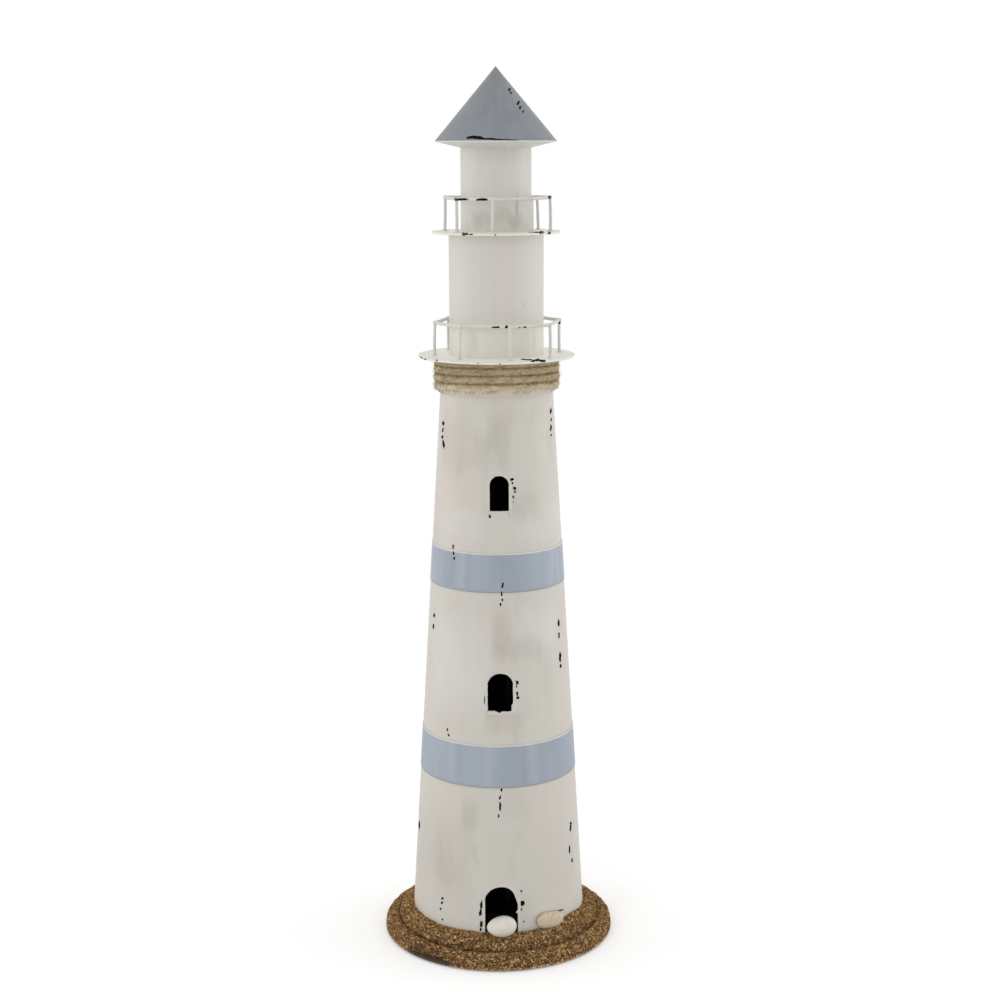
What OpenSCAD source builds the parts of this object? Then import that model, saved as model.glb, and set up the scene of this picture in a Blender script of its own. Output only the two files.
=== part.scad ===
// Battery-lit lighthouse for a porch or garden table. A tapered sheet metal tower stands on a
// plate covered with sand; above it come a rope collar, two railed galleries, two drums and a
// conical roof. Millimetres, +Z up, origin on the floor under the tower's axis, door towards -Y.

/* [Base plate and sand] */
// Thickness of the four soft foot pads
pad_t = 1.2; // [1:0.1:3]
// Radius of each foot pad
pad_r = 8; // [5:0.5:12]
// Distance of the foot pads from the tower's axis
pad_reach = 73; // [68:0.5:74]
// Radius of the round base plate
plate_r = 84.5; // [82:0.5:110]
// Thickness of the base plate
plate_t = 1.5; // [1:0.1:3]
// Bare plate left outside the sand
sand_margin = 0.4; // [0:0.1:2]
// Rounding radius of the sand heaped against the tower
bead_round = 9.8; // [6:0.1:12]
// Height of the centre of that rounding above the plate
bead_lift = 8.1; // [4:0.1:10]
// Rounding radius of the low outer ring of sand
ring_round = 8; // [5:0.1:9]
// Height of the centre of that rounding above the plate
ring_lift = 0.5; // [0:0.1:2]

/* [Tower] */
// Length of the tower from the plate to its top edge
tower_len = 403.1; // [360:0.1:460]
// Outer radius of the tower at the plate
tower_bottom_r = 64.4; // [62.5:0.1:66]
// Outer radius of the tower at its top edge
tower_top_r = 40.15; // [39.5:0.05:46]
// Thickness of the sheet metal
sheet_t = 0.8; // [0.6:0.05:1.2]
// Height of the folded lip that closes the tower's top onto the neck
lip_h = 1.5; // [1:0.1:4]
// Width of the door opening
door_w = 23.6; // [22.6:0.1:30]
// Height of the door's sill above the plate, hidden behind the sand
door_sill = 13.3; // [11:0.1:14]
// Height of the door opening
door_h = 38.6; // [30:0.1:60]
// Rise of the door's arched head
door_rise = 8.5; // [5:0.1:11]
// Width of the lower window
low_win_w = 18.3; // [12:0.1:26]
// Height of the lower window's sill above the plate
low_win_sill = 179; // [165:0.5:200]
// Height of the lower window
low_win_h = 29; // [18:0.1:40]
// Rise of the lower window's arched head
low_win_rise = 7.4; // [4:0.1:9]
// Width of the upper window
up_win_w = 13.6; // [10:0.1:20]
// Height of the upper window's sill above the plate
up_win_sill = 323.1; // [305:0.5:345]
// Height of the upper window
up_win_h = 25; // [16:0.1:36]
// Rise of the upper window's arched head
up_win_rise = 6.4; // [3:0.1:6.7]
// Width of the thin frame round each opening
frame_w = 1.9; // [1:0.1:4]
// How far each frame stands proud of the tower
frame_t = 0.4; // [0.3:0.05:1]

/* [Painted bands] */
// Thickness of the two painted sleeves
band_t = 0.4; // [0.3:0.05:1]
// Height of the lower sleeve's bottom edge above the plate
low_band_z = 124.8; // [100:0.1:140]
// Width of the lower sleeve
low_band_w = 30.9; // [15:0.1:34]
// Height of the upper sleeve's bottom edge above the plate
up_band_z = 265.6; // [240:0.1:285]
// Width of the upper sleeve
up_band_w = 27.7; // [15:0.1:30]

/* [Neck and rope] */
// Outer radius of the neck that carries the rope and the lower gallery
neck_r = 39.2; // [36:0.1:39.3]
// Length of neck that reaches down inside the tower
neck_tail = 8; // [4:0.5:20]
// Width of the neck's inward flange under the gallery
neck_flange_w = 6; // [3:0.5:10]
// Diameter of the rope
rope_d = 5.1; // [4:0.05:7]
// Space between neighbouring turns
rope_space = 0.5; // [0.5:0.05:1]
// Room above and below the winding
rope_room = 0.25; // [0.1:0.05:1]
// Turns of rope round the neck
rope_turns = 4; // [2:1:6]
// Share of the pitch that the rope climbs slowly; it climbs the rest in the seam at the back
rope_lean = 0.3; // [0.2:0.05:0.6]
// Angle of the seam at the back where each turn steps up to the next
rope_seam = 45; // [45:1:90]

/* [Galleries] */
// Thickness of both gallery discs
disc_t = 1.5; // [1:0.1:3]
// Radius of the lower gallery disc
low_disc_r = 55.7; // [50:0.1:70]
// Radius of the upper gallery disc
up_disc_r = 45.4; // [42:0.1:60]
// Posts in each railing
post_count = 8; // [5:1:12]
// Diameter of the railing posts
post_d = 2.2; // [1.6:0.1:3]
// Diameter of the handrail wire
rail_d = 2.6; // [2:0.1:4]
// Height of the handrail's centre above its disc
rail_h = 23; // [15:0.5:35]
// Distance of the lower railing's posts from the axis
low_rail_r = 44.8; // [38:0.1:50]
// Distance of the upper railing's posts from the axis
up_rail_r = 36.8; // [30:0.1:41]
// Turn of the lower railing from the front, in degrees
low_rail_turn = 8.5; // [-20:0.5:20]
// Turn of the upper railing from the front, in degrees
up_rail_turn = -7; // [-20:0.5:20]
// Depth of the weld where a post enters the handrail
weld = 0.6; // [0.2:0.1:1]
// How much thicker the handrail is at its welded corners
corner_bead = 0.3; // [0.2:0.1:1]

/* [Drums] */
// Radius of the middle drum
drum_r = 33.4; // [30:0.1:34]
// Length of the middle drum
drum_len = 85; // [60:0.5:120]
// Radius of the lantern drum
lantern_r = 24.8; // [20:0.1:28]
// Length of lantern drum that shows between the upper gallery and the soffit
lantern_len = 57.4; // [40:0.1:80]
// Width of the inward flange at the foot and head of each drum
drum_flange_w = 5; // [3:0.5:10]

/* [Roof] */
// Radius of the roof at its eaves
eave_r = 42.5; // [38:0.1:60]
// Height of the roof from eaves to point
roof_h = 50.6; // [35:0.1:70]
// How far the soffit slopes down from the eaves to the lantern drum
soffit_drop = 4.6; // [1:0.1:10]
// Width of the soffit's flat rim under the roof's edge
soffit_rim_w = 1.4; // [1.2:0.1:3]

/* [Pebble and shell] */
// Length of the white pebble on the doorstep
pebble_len = 21.4; // [14:0.1:21.4]
// Thickness of the pebble
pebble_d = 15.6; // [10:0.1:16]
// Distance of the pebble's centre from the tower's axis
pebble_reach = 66.2; // [66:0.1:68]
// Depth to which the pebble is set into the sand
pebble_set = 1.8; // [1:0.1:3]
// Width of the sea shell leaning on the tower
shell_w = 24; // [14:0.5:28]
// Height of the sea shell
shell_h = 12.5; // [10:0.5:20]
// Bulge of the sea shell
shell_bulge = 4.6; // [2:0.1:5.4]
// Ribs on the sea shell
shell_ribs = 11; // [7:1:13]
// Angle from the door round to the sea shell, in degrees
shell_turn = 34; // [28:1:60]
// Depth to which the shell is set into the sand
shell_set = 2; // [1:0.1:3]

/* [Foot ring] */
// Thickness of the angle ring that joins the tower to the plate
foot_ring_t = 1.2; // [0.8:0.1:2]
// Height of the angle ring
foot_ring_h = 10; // [6:0.5:16]
// Inner radius of the angle ring's flange
foot_ring_bore_r = 54.8; // [54:0.1:55]
// Distance of the four ring screws from the axis
ring_screw_reach = 58.5; // [58.2:0.1:58.6]
// Diameter of the ring screws
ring_screw_d = 3; // [2.5:0.1:3]

/* [Battery box] */
// Cells side by side in the box
cell_count = 3; // [1:1:3]
// Diameter of a cell
cell_d = 14.2; // [13.5:0.1:14.5]
// Length of a cell without its tip
cell_len = 49.2; // [45:0.1:50]
// Height of a cell's tip
cell_tip_h = 1.3; // [0.8:0.1:2]
// Diameter of a cell's tip
cell_tip_d = 5.5; // [4:0.1:7]
// Spacing of the cells
cell_pitch = 15.6; // [15.3:0.1:15.9]
// Radial room round a cell in its trough
cell_gap = 0.3; // [0.2:0.05:0.3]
// Length of a contact spring as fitted
spring_len = 5.6; // [4:0.1:7]
// Thickness of the metal contacts
contact_t = 0.4; // [0.3:0.05:0.6]
// Width and height of a metal contact
contact_w = 10; // [8:0.5:10]
// Wall of the plastic box
box_wall = 2; // [1.5:0.1:2.5]
// Thickness of the box's flange on the plate
flange_t = 4; // [3.6:0.1:6]
// How far the flange reaches past the box along the cells
flange_reach = 7.5; // [7.2:0.1:8]
// Diameter of the box's four screws
box_screw_d = 2.6; // [2:0.1:2.8]
// Depth by which the box's screws cut their own thread
thread_bite = 0.1; // [0.05:0.05:0.2]

/* [Battery door] */
// Thickness of the battery door
hatch_t = 2; // [1.6:0.1:2.2]
// Clearance round the battery door
hatch_gap = 0.4; // [0.3:0.05:0.5]
// How far the door sits above the plate's underside
hatch_inset = 0.3; // [0.1:0.1:0.5]
// Diameter of the door's hinge pin
hinge_pin_d = 2; // [1.5:0.1:2.2]
// Diameter of the hinge knuckles
knuckle_d = 4.4; // [4:0.1:4.6]
// Length of the door's knuckle
knuckle_len = 28; // [18:0.5:32]
// Running clearance of the pin in the door's knuckle
pin_gap = 0.06; // [0.03:0.01:0.09]

/* [Switch] */
// Distance of the switch from the axis
switch_reach = 38; // [37.5:0.5:39]
// Travel of the switch knob
switch_travel = 4; // [2:0.5:5]
// Length of the switch knob along its travel
knob_len = 5; // [4:0.5:6]
// Width of the switch knob
knob_w = 4; // [3:0.5:5]
// Clearance of the moving switch parts
switch_gap = 0.3; // [0.2:0.05:0.4]

/* [Lamp] */
// Outer diameter of the lamp's stem
stem_d = 8; // [6:0.5:9]
// Wall of the stem
stem_wall = 0.8; // [0.6:0.1:1.5]
// Height of the stem above the battery box
stem_h = 214; // [150:1:240]
// Depth of the socket that holds the stem
socket_h = 10; // [6:1:20]
// Diameter of the round light board
board_d = 24; // [20:0.5:30]
// Thickness of the light board
board_t = 1.2; // [1:0.1:1.6]
// Light chips on the board
chip_count = 6; // [3:1:8]
// Wall of the frosted dome
dome_wall = 1.2; // [0.8:0.1:2]
// Height of the dome's straight skirt above the board
dome_skirt = 6; // [3:0.5:12]
// Diameter of the two supply leads
lead_d = 1.2; // [0.8:0.1:1.4]

/* [Hidden] */
$fn = 96;
eps = 0.01;

// Heights of the stack, from the floor up
plate_top = pad_t + plate_t;
tower_top = plate_top + tower_len;
rope_pitch = rope_d + rope_space;
seam_share = rope_seam / 360;
rope_climb = rope_pitch * (rope_turns - 1 + rope_lean * (1 - seam_share));
neck_len = rope_d + rope_climb + 2 * rope_room;
low_disc_z = tower_top + neck_len;
drum_z = low_disc_z + disc_t;
up_disc_z = drum_z + drum_len;
lantern_z = up_disc_z + disc_t;
soffit_z = lantern_z + lantern_len;
eave_z = soffit_z + soffit_drop;

// Outer radius of the tower at a height
function tower_r(z) =
    tower_bottom_r - (tower_bottom_r - tower_top_r) * (z - plate_top) / tower_len;
function polar(radius, angle) = [radius * cos(angle), radius * sin(angle)];
function arc(centre, radius, from, to, steps = 16) =
    [for (i = [0:steps]) centre + polar(radius, from + (to - from) * i / steps)];

sleeve_fit = 0.05;

// Sheet that follows the tower's slope between two heights, from an inner to an outer offset
module tower_sleeve(z0, z1, inner, outer)
    rotate_extrude($fn = 180)
        polygon([[tower_r(z0) + inner, z0], [tower_r(z0) + outer, z0],
            [tower_r(z1) + outer, z1], [tower_r(z1) + inner, z1]]);

// Opening with a flat sill and an arched head, in the XY plane, sill at y = 0
module arch_outline(w, h, rise) {
    head_r = (w * w / 4 + rise * rise) / (2 * rise);
    spread = asin(w / 2 / head_r);
    polygon(concat([[-w / 2, 0], [w / 2, 0]],
        arc([0, h - head_r], head_r, 90 - spread, 90 + spread)));
}

// The same opening as a bar that reaches from the axis out through the front of the tower
module arch_cut(w, h, rise, sill)
    translate([0, 0, plate_top + sill]) rotate([90, 0, 0])
        linear_extrude(tower_bottom_r + 10) arch_outline(w, h, rise);

module opening_frame(w, h, rise, sill) {
    foot = plate_top + sill - 2 * frame_w;
    difference() {
        intersection() {
            tower_sleeve(foot, foot + h + 4 * frame_w, sleeve_fit, frame_t);
            arch_cut(w + 2 * frame_w, h + 2 * frame_w, rise + frame_w / 2, sill - frame_w);
        }
        arch_cut(w, h, rise, sill);
    }
}

// Base plate and sand
hole_room = 0.3;

module foot_pads() color("#2b2b2b")
    for (a = [45:90:315]) rotate(a) translate([pad_reach, 0, 0]) cylinder(h = pad_t, r = pad_r);

module base_plate() color("#26272a")
    difference() {
        translate([0, 0, pad_t]) cylinder(h = plate_t, r = plate_r, $fn = 180);
        hatch_room(pad_t - 1, plate_top + 1);
        at_ring_screws() translate([0, 0, -1])
            cylinder(h = plate_top + 2, d = ring_screw_d + hole_room, $fn = 32);
        at_box_screws() translate([0, 0, -1])
            cylinder(h = plate_top + 2, d = box_screw_d + hole_room, $fn = 32);
        translate([switch_reach - knob_w / 2 - switch_gap,
            -(knob_len + switch_travel) / 2 - switch_gap, 0])
            cube([knob_w + 2 * switch_gap, knob_len + switch_travel + 2 * switch_gap,
                plate_top + 1]);
    }

bead_inset = 0.4;
ring_centre = [plate_r - sand_margin - ring_round, plate_top + ring_lift];
bead_centre = [tower_bottom_r - bead_inset, plate_top + bead_lift];
sand_top = bead_centre[1] + bead_round;
groove_r = bead_centre[0] + bead_round;
groove_angle = acos(max(-1, (groove_r - ring_centre[0]) / ring_round));

module sand_bed() color("#8c6c44")
    difference() {
        rotate_extrude($fn = 180)
            polygon(concat([[tower_r(plate_top), plate_top],
                    [tower_r(sand_top), sand_top]],
                arc(bead_centre, bead_round, 90, 0),
                arc(ring_centre, ring_round, groove_angle, 0),
                [[plate_r - sand_margin, plate_top]]));
        doorstep_pebble();
        shell_pocket();
    }

// Tower
module tower_shell() color("#c9c4bb")
    difference() {
        union() {
            tower_sleeve(plate_top, tower_top, -sheet_t, 0);
            rotate_extrude($fn = 180)
                translate([neck_r, tower_top - lip_h])
                    square([tower_r(tower_top) - sheet_t / 2 - neck_r, lip_h]);
        }
        arch_cut(door_w, door_h, door_rise, door_sill);
        arch_cut(low_win_w, low_win_h, low_win_rise, low_win_sill);
        arch_cut(up_win_w, up_win_h, up_win_rise, up_win_sill);
    }

module door_frame() color("#d5d1c9")
    difference() {
        opening_frame(door_w, door_h, door_rise, door_sill);
        cylinder(h = sand_top, r = plate_r);
    }

module lower_window_frame() color("#d5d1c9")
    opening_frame(low_win_w, low_win_h, low_win_rise, low_win_sill);

module upper_window_frame() color("#d5d1c9")
    opening_frame(up_win_w, up_win_h, up_win_rise, up_win_sill);

module lower_band() color("#9fadb9")
    tower_sleeve(plate_top + low_band_z, plate_top + low_band_z + low_band_w,
        sleeve_fit, band_t);

module upper_band() color("#9fadb9")
    tower_sleeve(plate_top + up_band_z, plate_top + up_band_z + up_band_w,
        sleeve_fit, band_t);

// Angle ring, with screws up through the plate and nuts on its flange
module foot_ring() color("#9a9c9e")
    difference() {
        union() {
            tower_sleeve(plate_top, plate_top + foot_ring_h, -sheet_t - foot_ring_t,
                -sheet_t - sleeve_fit);
            rotate_extrude($fn = 180)
                translate([foot_ring_bore_r, plate_top])
                    square([tower_bottom_r - sheet_t - foot_ring_t / 2 - foot_ring_bore_r,
                        foot_ring_t]);
        }
        at_ring_screws() translate([0, 0, -1])
            cylinder(h = plate_top + foot_ring_t + 2, d = ring_screw_d + hole_room, $fn = 32);
    }

screw_head_h = 0.8;
screw_slot_w = 0.6;
screw_tail = 0.8;
ring_head_d = 5.6;
nut_h = 2.4;
nut_d = 6.3;

module at_ring_screws()
    for (a = [0:90:270]) rotate(a) translate([ring_screw_reach, 0, 0]) children();

// Low round head under the plate, with a cross slot
module low_screw(d, head_d, len)
    difference() {
        union() {
            translate([0, 0, pad_t - screw_head_h]) cylinder(h = screw_head_h, d = head_d, $fn = 32);
            translate([0, 0, pad_t - eps]) cylinder(h = len + eps, d = d, $fn = 32);
        }
        for (a = [0, 90]) rotate(a)
            translate([-head_d / 4, -screw_slot_w / 2, pad_t - screw_head_h - eps])
                cube([head_d / 2, screw_slot_w, screw_head_h / 2]);
    }

module ring_screws() color("#b9bcc0")
    at_ring_screws()
        low_screw(ring_screw_d, ring_head_d, plate_t + foot_ring_t + nut_h + screw_tail);

module ring_nuts() color("#b9bcc0")
    at_ring_screws() translate([0, 0, plate_top + foot_ring_t])
        difference() {
            cylinder(h = nut_h, d = nut_d, $fn = 6);
            translate([0, 0, -1]) cylinder(h = nut_h + 2, d = ring_screw_d, $fn = 32);
        }

// Neck and rope
module neck_tube() color("#c9c4bb")
    difference() {
        translate([0, 0, tower_top - neck_tail])
            cylinder(h = neck_len + neck_tail, r = neck_r, $fn = 180);
        translate([0, 0, tower_top - neck_tail - 1])
            cylinder(h = neck_len + neck_tail + 1 - sheet_t, r = neck_r - sheet_t, $fn = 180);
        translate([0, 0, low_disc_z - sheet_t - 1])
            cylinder(h = sheet_t + 2, r = neck_r - neck_flange_w, $fn = 180);
    }

// One unbroken tube of rope. It climbs slowly round each turn and steps up in the seam.
loop_rings = 24;
rope_sides = 6;
rope_seat = 0.05;
flat_r = rope_d / 2 * cos(180 / rope_sides);
rope_axis_r = neck_r / cos(180 / loop_rings) + flat_r + rope_seat;
rope_low_z = tower_top + rope_room + rope_d / 2;
rope_first = 1;
rope_rings = floor((rope_turns - seam_share) * loop_rings) - 1;

function rope_step(u) =
    u < 1 - seam_share ? 0 : (1 - cos(180 * (u - 1 + seam_share) / seam_share)) / 2;
function rope_z(turn) =
    let (u = turn - floor(turn))
        rope_low_z + rope_pitch * (floor(turn) + rope_lean * u + (1 - rope_lean) * rope_step(u));
function rope_angle(i) = 90 + rope_seam / 2 + 360 * i / loop_rings;
function rope_point(i) = concat(polar(rope_axis_r, rope_angle(i)), [rope_z(i / loop_rings)]);
function rope_ahead(i) = [-sin(rope_angle(i)), cos(rope_angle(i)), 0];

// Each end runs straight for one rope diameter
rope_line = concat([rope_point(rope_first) - rope_d * rope_ahead(rope_first)],
    [for (i = [rope_first:rope_rings]) rope_point(i)],
    [rope_point(rope_rings) + rope_d * rope_ahead(rope_rings)]);
rope_last = len(rope_line) - 1;
function rope_out(i) = let (p = rope_line[i]) [p[0], p[1], 0] / norm([p[0], p[1]]);
function rope_ring(i) = [for (s = [0:rope_sides - 1]) let (a = 360 * (s + 0.5) / rope_sides)
    rope_line[i] + rope_d / 2 * (cos(a) * rope_out(i) + [0, 0, sin(a)])];

module rope_collar() color("#a8967a") {
    walls = [for (i = [0:rope_last - 1], s = [0:rope_sides - 1])
        let (a = i * rope_sides + s, b = i * rope_sides + (s + 1) % rope_sides)
            each [[a, b, a + rope_sides], [b, b + rope_sides, a + rope_sides]]];
    tail = rope_last * rope_sides;
    ends = [for (s = [1:rope_sides - 2])
        each [[0, s + 1, s], [tail, tail + s, tail + s + 1]]];
    polyhedron(points = [for (i = [0:rope_last]) each rope_ring(i)],
        faces = concat(walls, ends), convexity = 10);
}

// Least gap of the rope to itself, from each point to the edges along the next turn
function edge_gap(p, a, b) =
    let (t = max(0, min(1, (p - a) * (b - a) / ((b - a) * (b - a))))) norm(p - a - t * (b - a));
rope_self_gap = min([for (i = [0:rope_last])
    for (j = [i + loop_rings - 4:1:min(i + loop_rings + 4, rope_last - 1)])
        let (near = rope_ring(j), far = rope_ring(j + 1))
            for (p = rope_ring(i), k = [0:rope_sides - 1]) edge_gap(p, near[k], far[k])]);
echo(rope_self_gap = rope_self_gap);

// Galleries
module gallery_disc(z, radius)
    rotate_extrude($fn = 180)
        translate([0, z]) polygon(concat([[0, 0]],
            arc([radius - disc_t / 2, disc_t / 2], disc_t / 2, -90, 90, 10), [[0, disc_t]]));

module at_posts(reach, turn)
    for (i = [0:post_count - 1])
        rotate(turn - 90 + i * 360 / post_count) translate([reach, 0, 0]) children();

module posts(z, reach, turn)
    at_posts(reach, turn) translate([0, 0, z])
        cylinder(h = rail_h - rail_d / 2 + weld, d = post_d, $fn = 24);

module handrail(z, reach, turn) {
    side = 2 * reach * sin(180 / post_count);
    at_posts(reach, turn) translate([0, 0, z + rail_h]) {
        sphere(d = rail_d + corner_bead, $fn = 24);
        rotate([-90, 0, 180 / post_count]) cylinder(h = side, d = rail_d, $fn = 24);
    }
}

module lower_gallery() color("#d4d2ce") gallery_disc(low_disc_z, low_disc_r);
module upper_gallery() color("#d4d2ce") gallery_disc(up_disc_z, up_disc_r);
module lower_posts() color("#cfcdc7") posts(drum_z, low_rail_r, low_rail_turn);
module upper_posts() color("#cfcdc7") posts(lantern_z, up_rail_r, up_rail_turn);
module lower_handrail() color("#cfcdc7") handrail(drum_z, low_rail_r, low_rail_turn);
module upper_handrail() color("#cfcdc7") handrail(lantern_z, up_rail_r, up_rail_turn);

// Open drum with an inward flange at its foot and head
module drum(z, radius, len)
    rotate_extrude($fn = 180)
        translate([0, z]) polygon([[radius - drum_flange_w, 0], [radius, 0], [radius, len],
            [radius - drum_flange_w, len], [radius - drum_flange_w, len - sheet_t],
            [radius - sheet_t, len - sheet_t], [radius - sheet_t, sheet_t],
            [radius - drum_flange_w, sheet_t]]);

module middle_drum() color("#cbc7bf") drum(drum_z, drum_r, drum_len);
module lantern_drum() color("#cbc7bf")
    drum(lantern_z, lantern_r, lantern_len + soffit_drop);

// Roof: a cone, closed from below by a soffit that slopes down to the lantern drum
module roof_soffit() color("#b8b9ae")
    rotate_extrude($fn = 180)
        polygon([[lantern_r, soffit_z], [eave_r - soffit_rim_w, eave_z - sheet_t],
            [eave_r, eave_z - sheet_t], [eave_r, eave_z],
            [eave_r - soffit_rim_w, eave_z], [lantern_r, soffit_z + sheet_t]]);

module roof_cone() color("#868a8e") {
    drop = sheet_t * sqrt(1 + pow(roof_h / eave_r, 2));
    rotate_extrude($fn = 180)
        polygon([[0, eave_z + roof_h], [0, eave_z + roof_h - drop],
            [eave_r * (1 - drop / roof_h), eave_z], [eave_r, eave_z]]);
}

// Pebble and sea shell
pebble_egg = 0.1;
pebble_tilt = 6;

module doorstep_pebble() color("#d3d0c4")
    translate([0, -pebble_reach, sand_top + pebble_d / 2 - pebble_set])
        rotate([0, 90 - pebble_tilt, 0]) rotate_extrude($fn = 48)
            polygon([for (a = [0:10:180]) let (t = -cos(a))
                [pebble_d / 2 * sin(a) * (1 + pebble_egg * t), pebble_len / 2 * t]]);

shell_foot = sand_top - shell_set;
shell_back = tower_r(shell_foot) + 0.1;
tower_lean = atan((tower_bottom_r - tower_top_r) / tower_len);
shell_steps = 66;
shell_bows = 6;
shell_edge_t = 0.35;
shell_rib_h = 0.22;
shell_room = 0.5;
shell_beak_z = shell_h * 0.12;

// Ribbed dome with a flat back, standing on the point y = 0 with its back on x = 0
function shell_rim(a) = [0, shell_w / 2 * cos(a), shell_h / 2 * (1 + sin(a))];
function shell_point(a, k) =
    let (t = k / shell_bows, beak = [0, 0, shell_beak_z],
        swell = shell_bulge * sqrt(1 - t * t) + shell_edge_t + shell_rib_h * t * cos(a * shell_ribs))
            beak + (shell_rim(a) - beak) * t + [swell, 0, 0];

module sea_shell() color("#b8a98a")
    rotate(shell_turn - 90) translate([shell_back, 0, shell_foot]) rotate([0, -tower_lean, 0]) {
        front = [for (k = [1:shell_bows], j = [0:shell_steps - 1])
            shell_point(j * 360 / shell_steps, k)];
        back = [for (j = [0:shell_steps - 1]) shell_rim(j * 360 / shell_steps)];
        count = shell_steps * shell_bows;
        walls = [for (k = [0:shell_bows - 1], j = [0:shell_steps - 1])
            let (a = k * shell_steps + j, b = k * shell_steps + (j + 1) % shell_steps)
                each [[a, b, a + shell_steps], [b, b + shell_steps, a + shell_steps]]];
        crown = [for (j = [0:shell_steps - 1])
            [count + shell_steps, (j + 1) % shell_steps, j]];
        base = [for (j = [0:shell_steps - 1])
            [count + shell_steps + 1, count + j, count + (j + 1) % shell_steps]];
        polyhedron(points = concat(front, back,
                [[shell_bulge + shell_edge_t, 0, shell_beak_z], [0, 0, shell_h / 2]]),
            faces = concat(walls, crown, base), convexity = 6);
    }

// Flat-bottomed pocket in the sand that the shell stands in
module shell_pocket()
    rotate(shell_turn - 90)
        translate([tower_r(shell_foot) - 2, -shell_w / 2 - shell_room, shell_foot])
            cube([shell_bulge + shell_edge_t + 2 + 2 * shell_room, shell_w + 2 * shell_room,
                shell_h]);

// Battery box. Its cavity opens downwards through the plate; the door closes it.
hatch_head_room = 0.2;
hatch_side_lap = 2.2;
hatch_front_lap = 3.2;
screw_land = 2.8;
screw_margin = 3.4;
box_head_d = 5;
cavity_len = cell_len + cell_tip_h + spring_len + 3.5 * contact_t;
cavity_w = (cell_count - 1) * cell_pitch + cell_d + 2 * cell_gap;
box_half_w = cavity_w / 2 + box_wall;
box_half_len = cavity_len / 2 + box_wall;
hatch_z = pad_t + hatch_inset;
hatch_top = hatch_z + hatch_t;
recess_z = max(hatch_top, plate_top) + hatch_head_room;
cell_z = recess_z + cell_gap + cell_d / 2;
box_top = cell_z + cell_d / 2 + cell_gap + box_wall;
flange_top = plate_top + flange_t;
hatch_half_w = cavity_w / 2 + hatch_side_lap;
hatch_front = -box_half_len - hatch_front_lap;
hinge_y = box_half_len + knuckle_d / 2;
hinge_z = hatch_top;
hatch_back = hinge_y + knuckle_d / 2 + hatch_gap;
box_screw_x = hatch_half_w + hatch_gap + screw_land;
box_screw_y = box_half_len + hatch_front_lap;
flange_half_w = box_screw_x + screw_margin;
function cell_x(i) = (i - (cell_count - 1) / 2) * cell_pitch;
function cell_turn(i) = i % 2 == 0 ? 0 : 180;

module at_cells()
    for (i = [0:cell_count - 1]) translate([cell_x(i), 0, cell_z]) rotate(cell_turn(i)) children();

module at_box_screws()
    for (x = [-box_screw_x, box_screw_x], y = [-box_screw_y, box_screw_y])
        translate([x, y, 0]) children();

// Room for the door, through the plate and up into the box's flange
module hatch_room(from, to)
    translate([-hatch_half_w - hatch_gap, hatch_front - hatch_gap, from])
        cube([2 * (hatch_half_w + hatch_gap), hatch_back - hatch_front + hatch_gap, to - from]);

// Bar along X at the hinge, centred on the box
module hinge_bar(radius, half_len)
    translate([-half_len, hinge_y, hinge_z]) rotate([0, 90, 0])
        cylinder(h = 2 * half_len, r = radius, $fn = 48);

ear_gap = 0.3;
ear_w = 5;
ear_out = knuckle_len / 2 + ear_gap + ear_w;

module hinge_ears()
    difference() {
        union() {
            hinge_bar(knuckle_d / 2, ear_out);
            translate([-ear_out, hinge_y - knuckle_d / 2, hinge_z])
                cube([2 * ear_out, knuckle_d, flange_top - hinge_z]);
        }
        translate([-ear_out + ear_w, hinge_y - knuckle_d, 0])
            cube([2 * (ear_out - ear_w), 2 * knuckle_d, flange_top + 1]);
    }

// Snap tongue of the door, in a slot of the box's flange
tongue_w = 10;
tongue_t = 1.2;
tongue_y = -box_half_len - hatch_front_lap / 2;
tongue_room = 0.6;
tongue_bead_r = 0.3;
tongue_top = flange_top + 1;

// Switch bay beside the box
shoe_t = 1;
shoe_lap = 1;
tab_w = 2;
tab_h = 1.3;
shoe_len = knob_len + 2 * (switch_travel + shoe_lap);
shoe_w = knob_w + 3 * shoe_lap;
shoe_z = plate_top + switch_gap;
switch_z = shoe_z + shoe_t + switch_gap;
switch_h = 4.5;
switch_len = 12;
switch_w = 6;
bay_ceiling = switch_z + switch_h;
bay_half_w = shoe_w / 2 + shoe_lap;
bay_half_len = (shoe_len + switch_travel) / 2 + switch_gap;
bay_wall = 2;
socket_x = cell_count % 2 == 0 ? 0 : cell_pitch / 2;
boss_wall = 2.5;
lead_spread = 1;
lead_hole_d = 2 * (lead_spread + lead_d);

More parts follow.
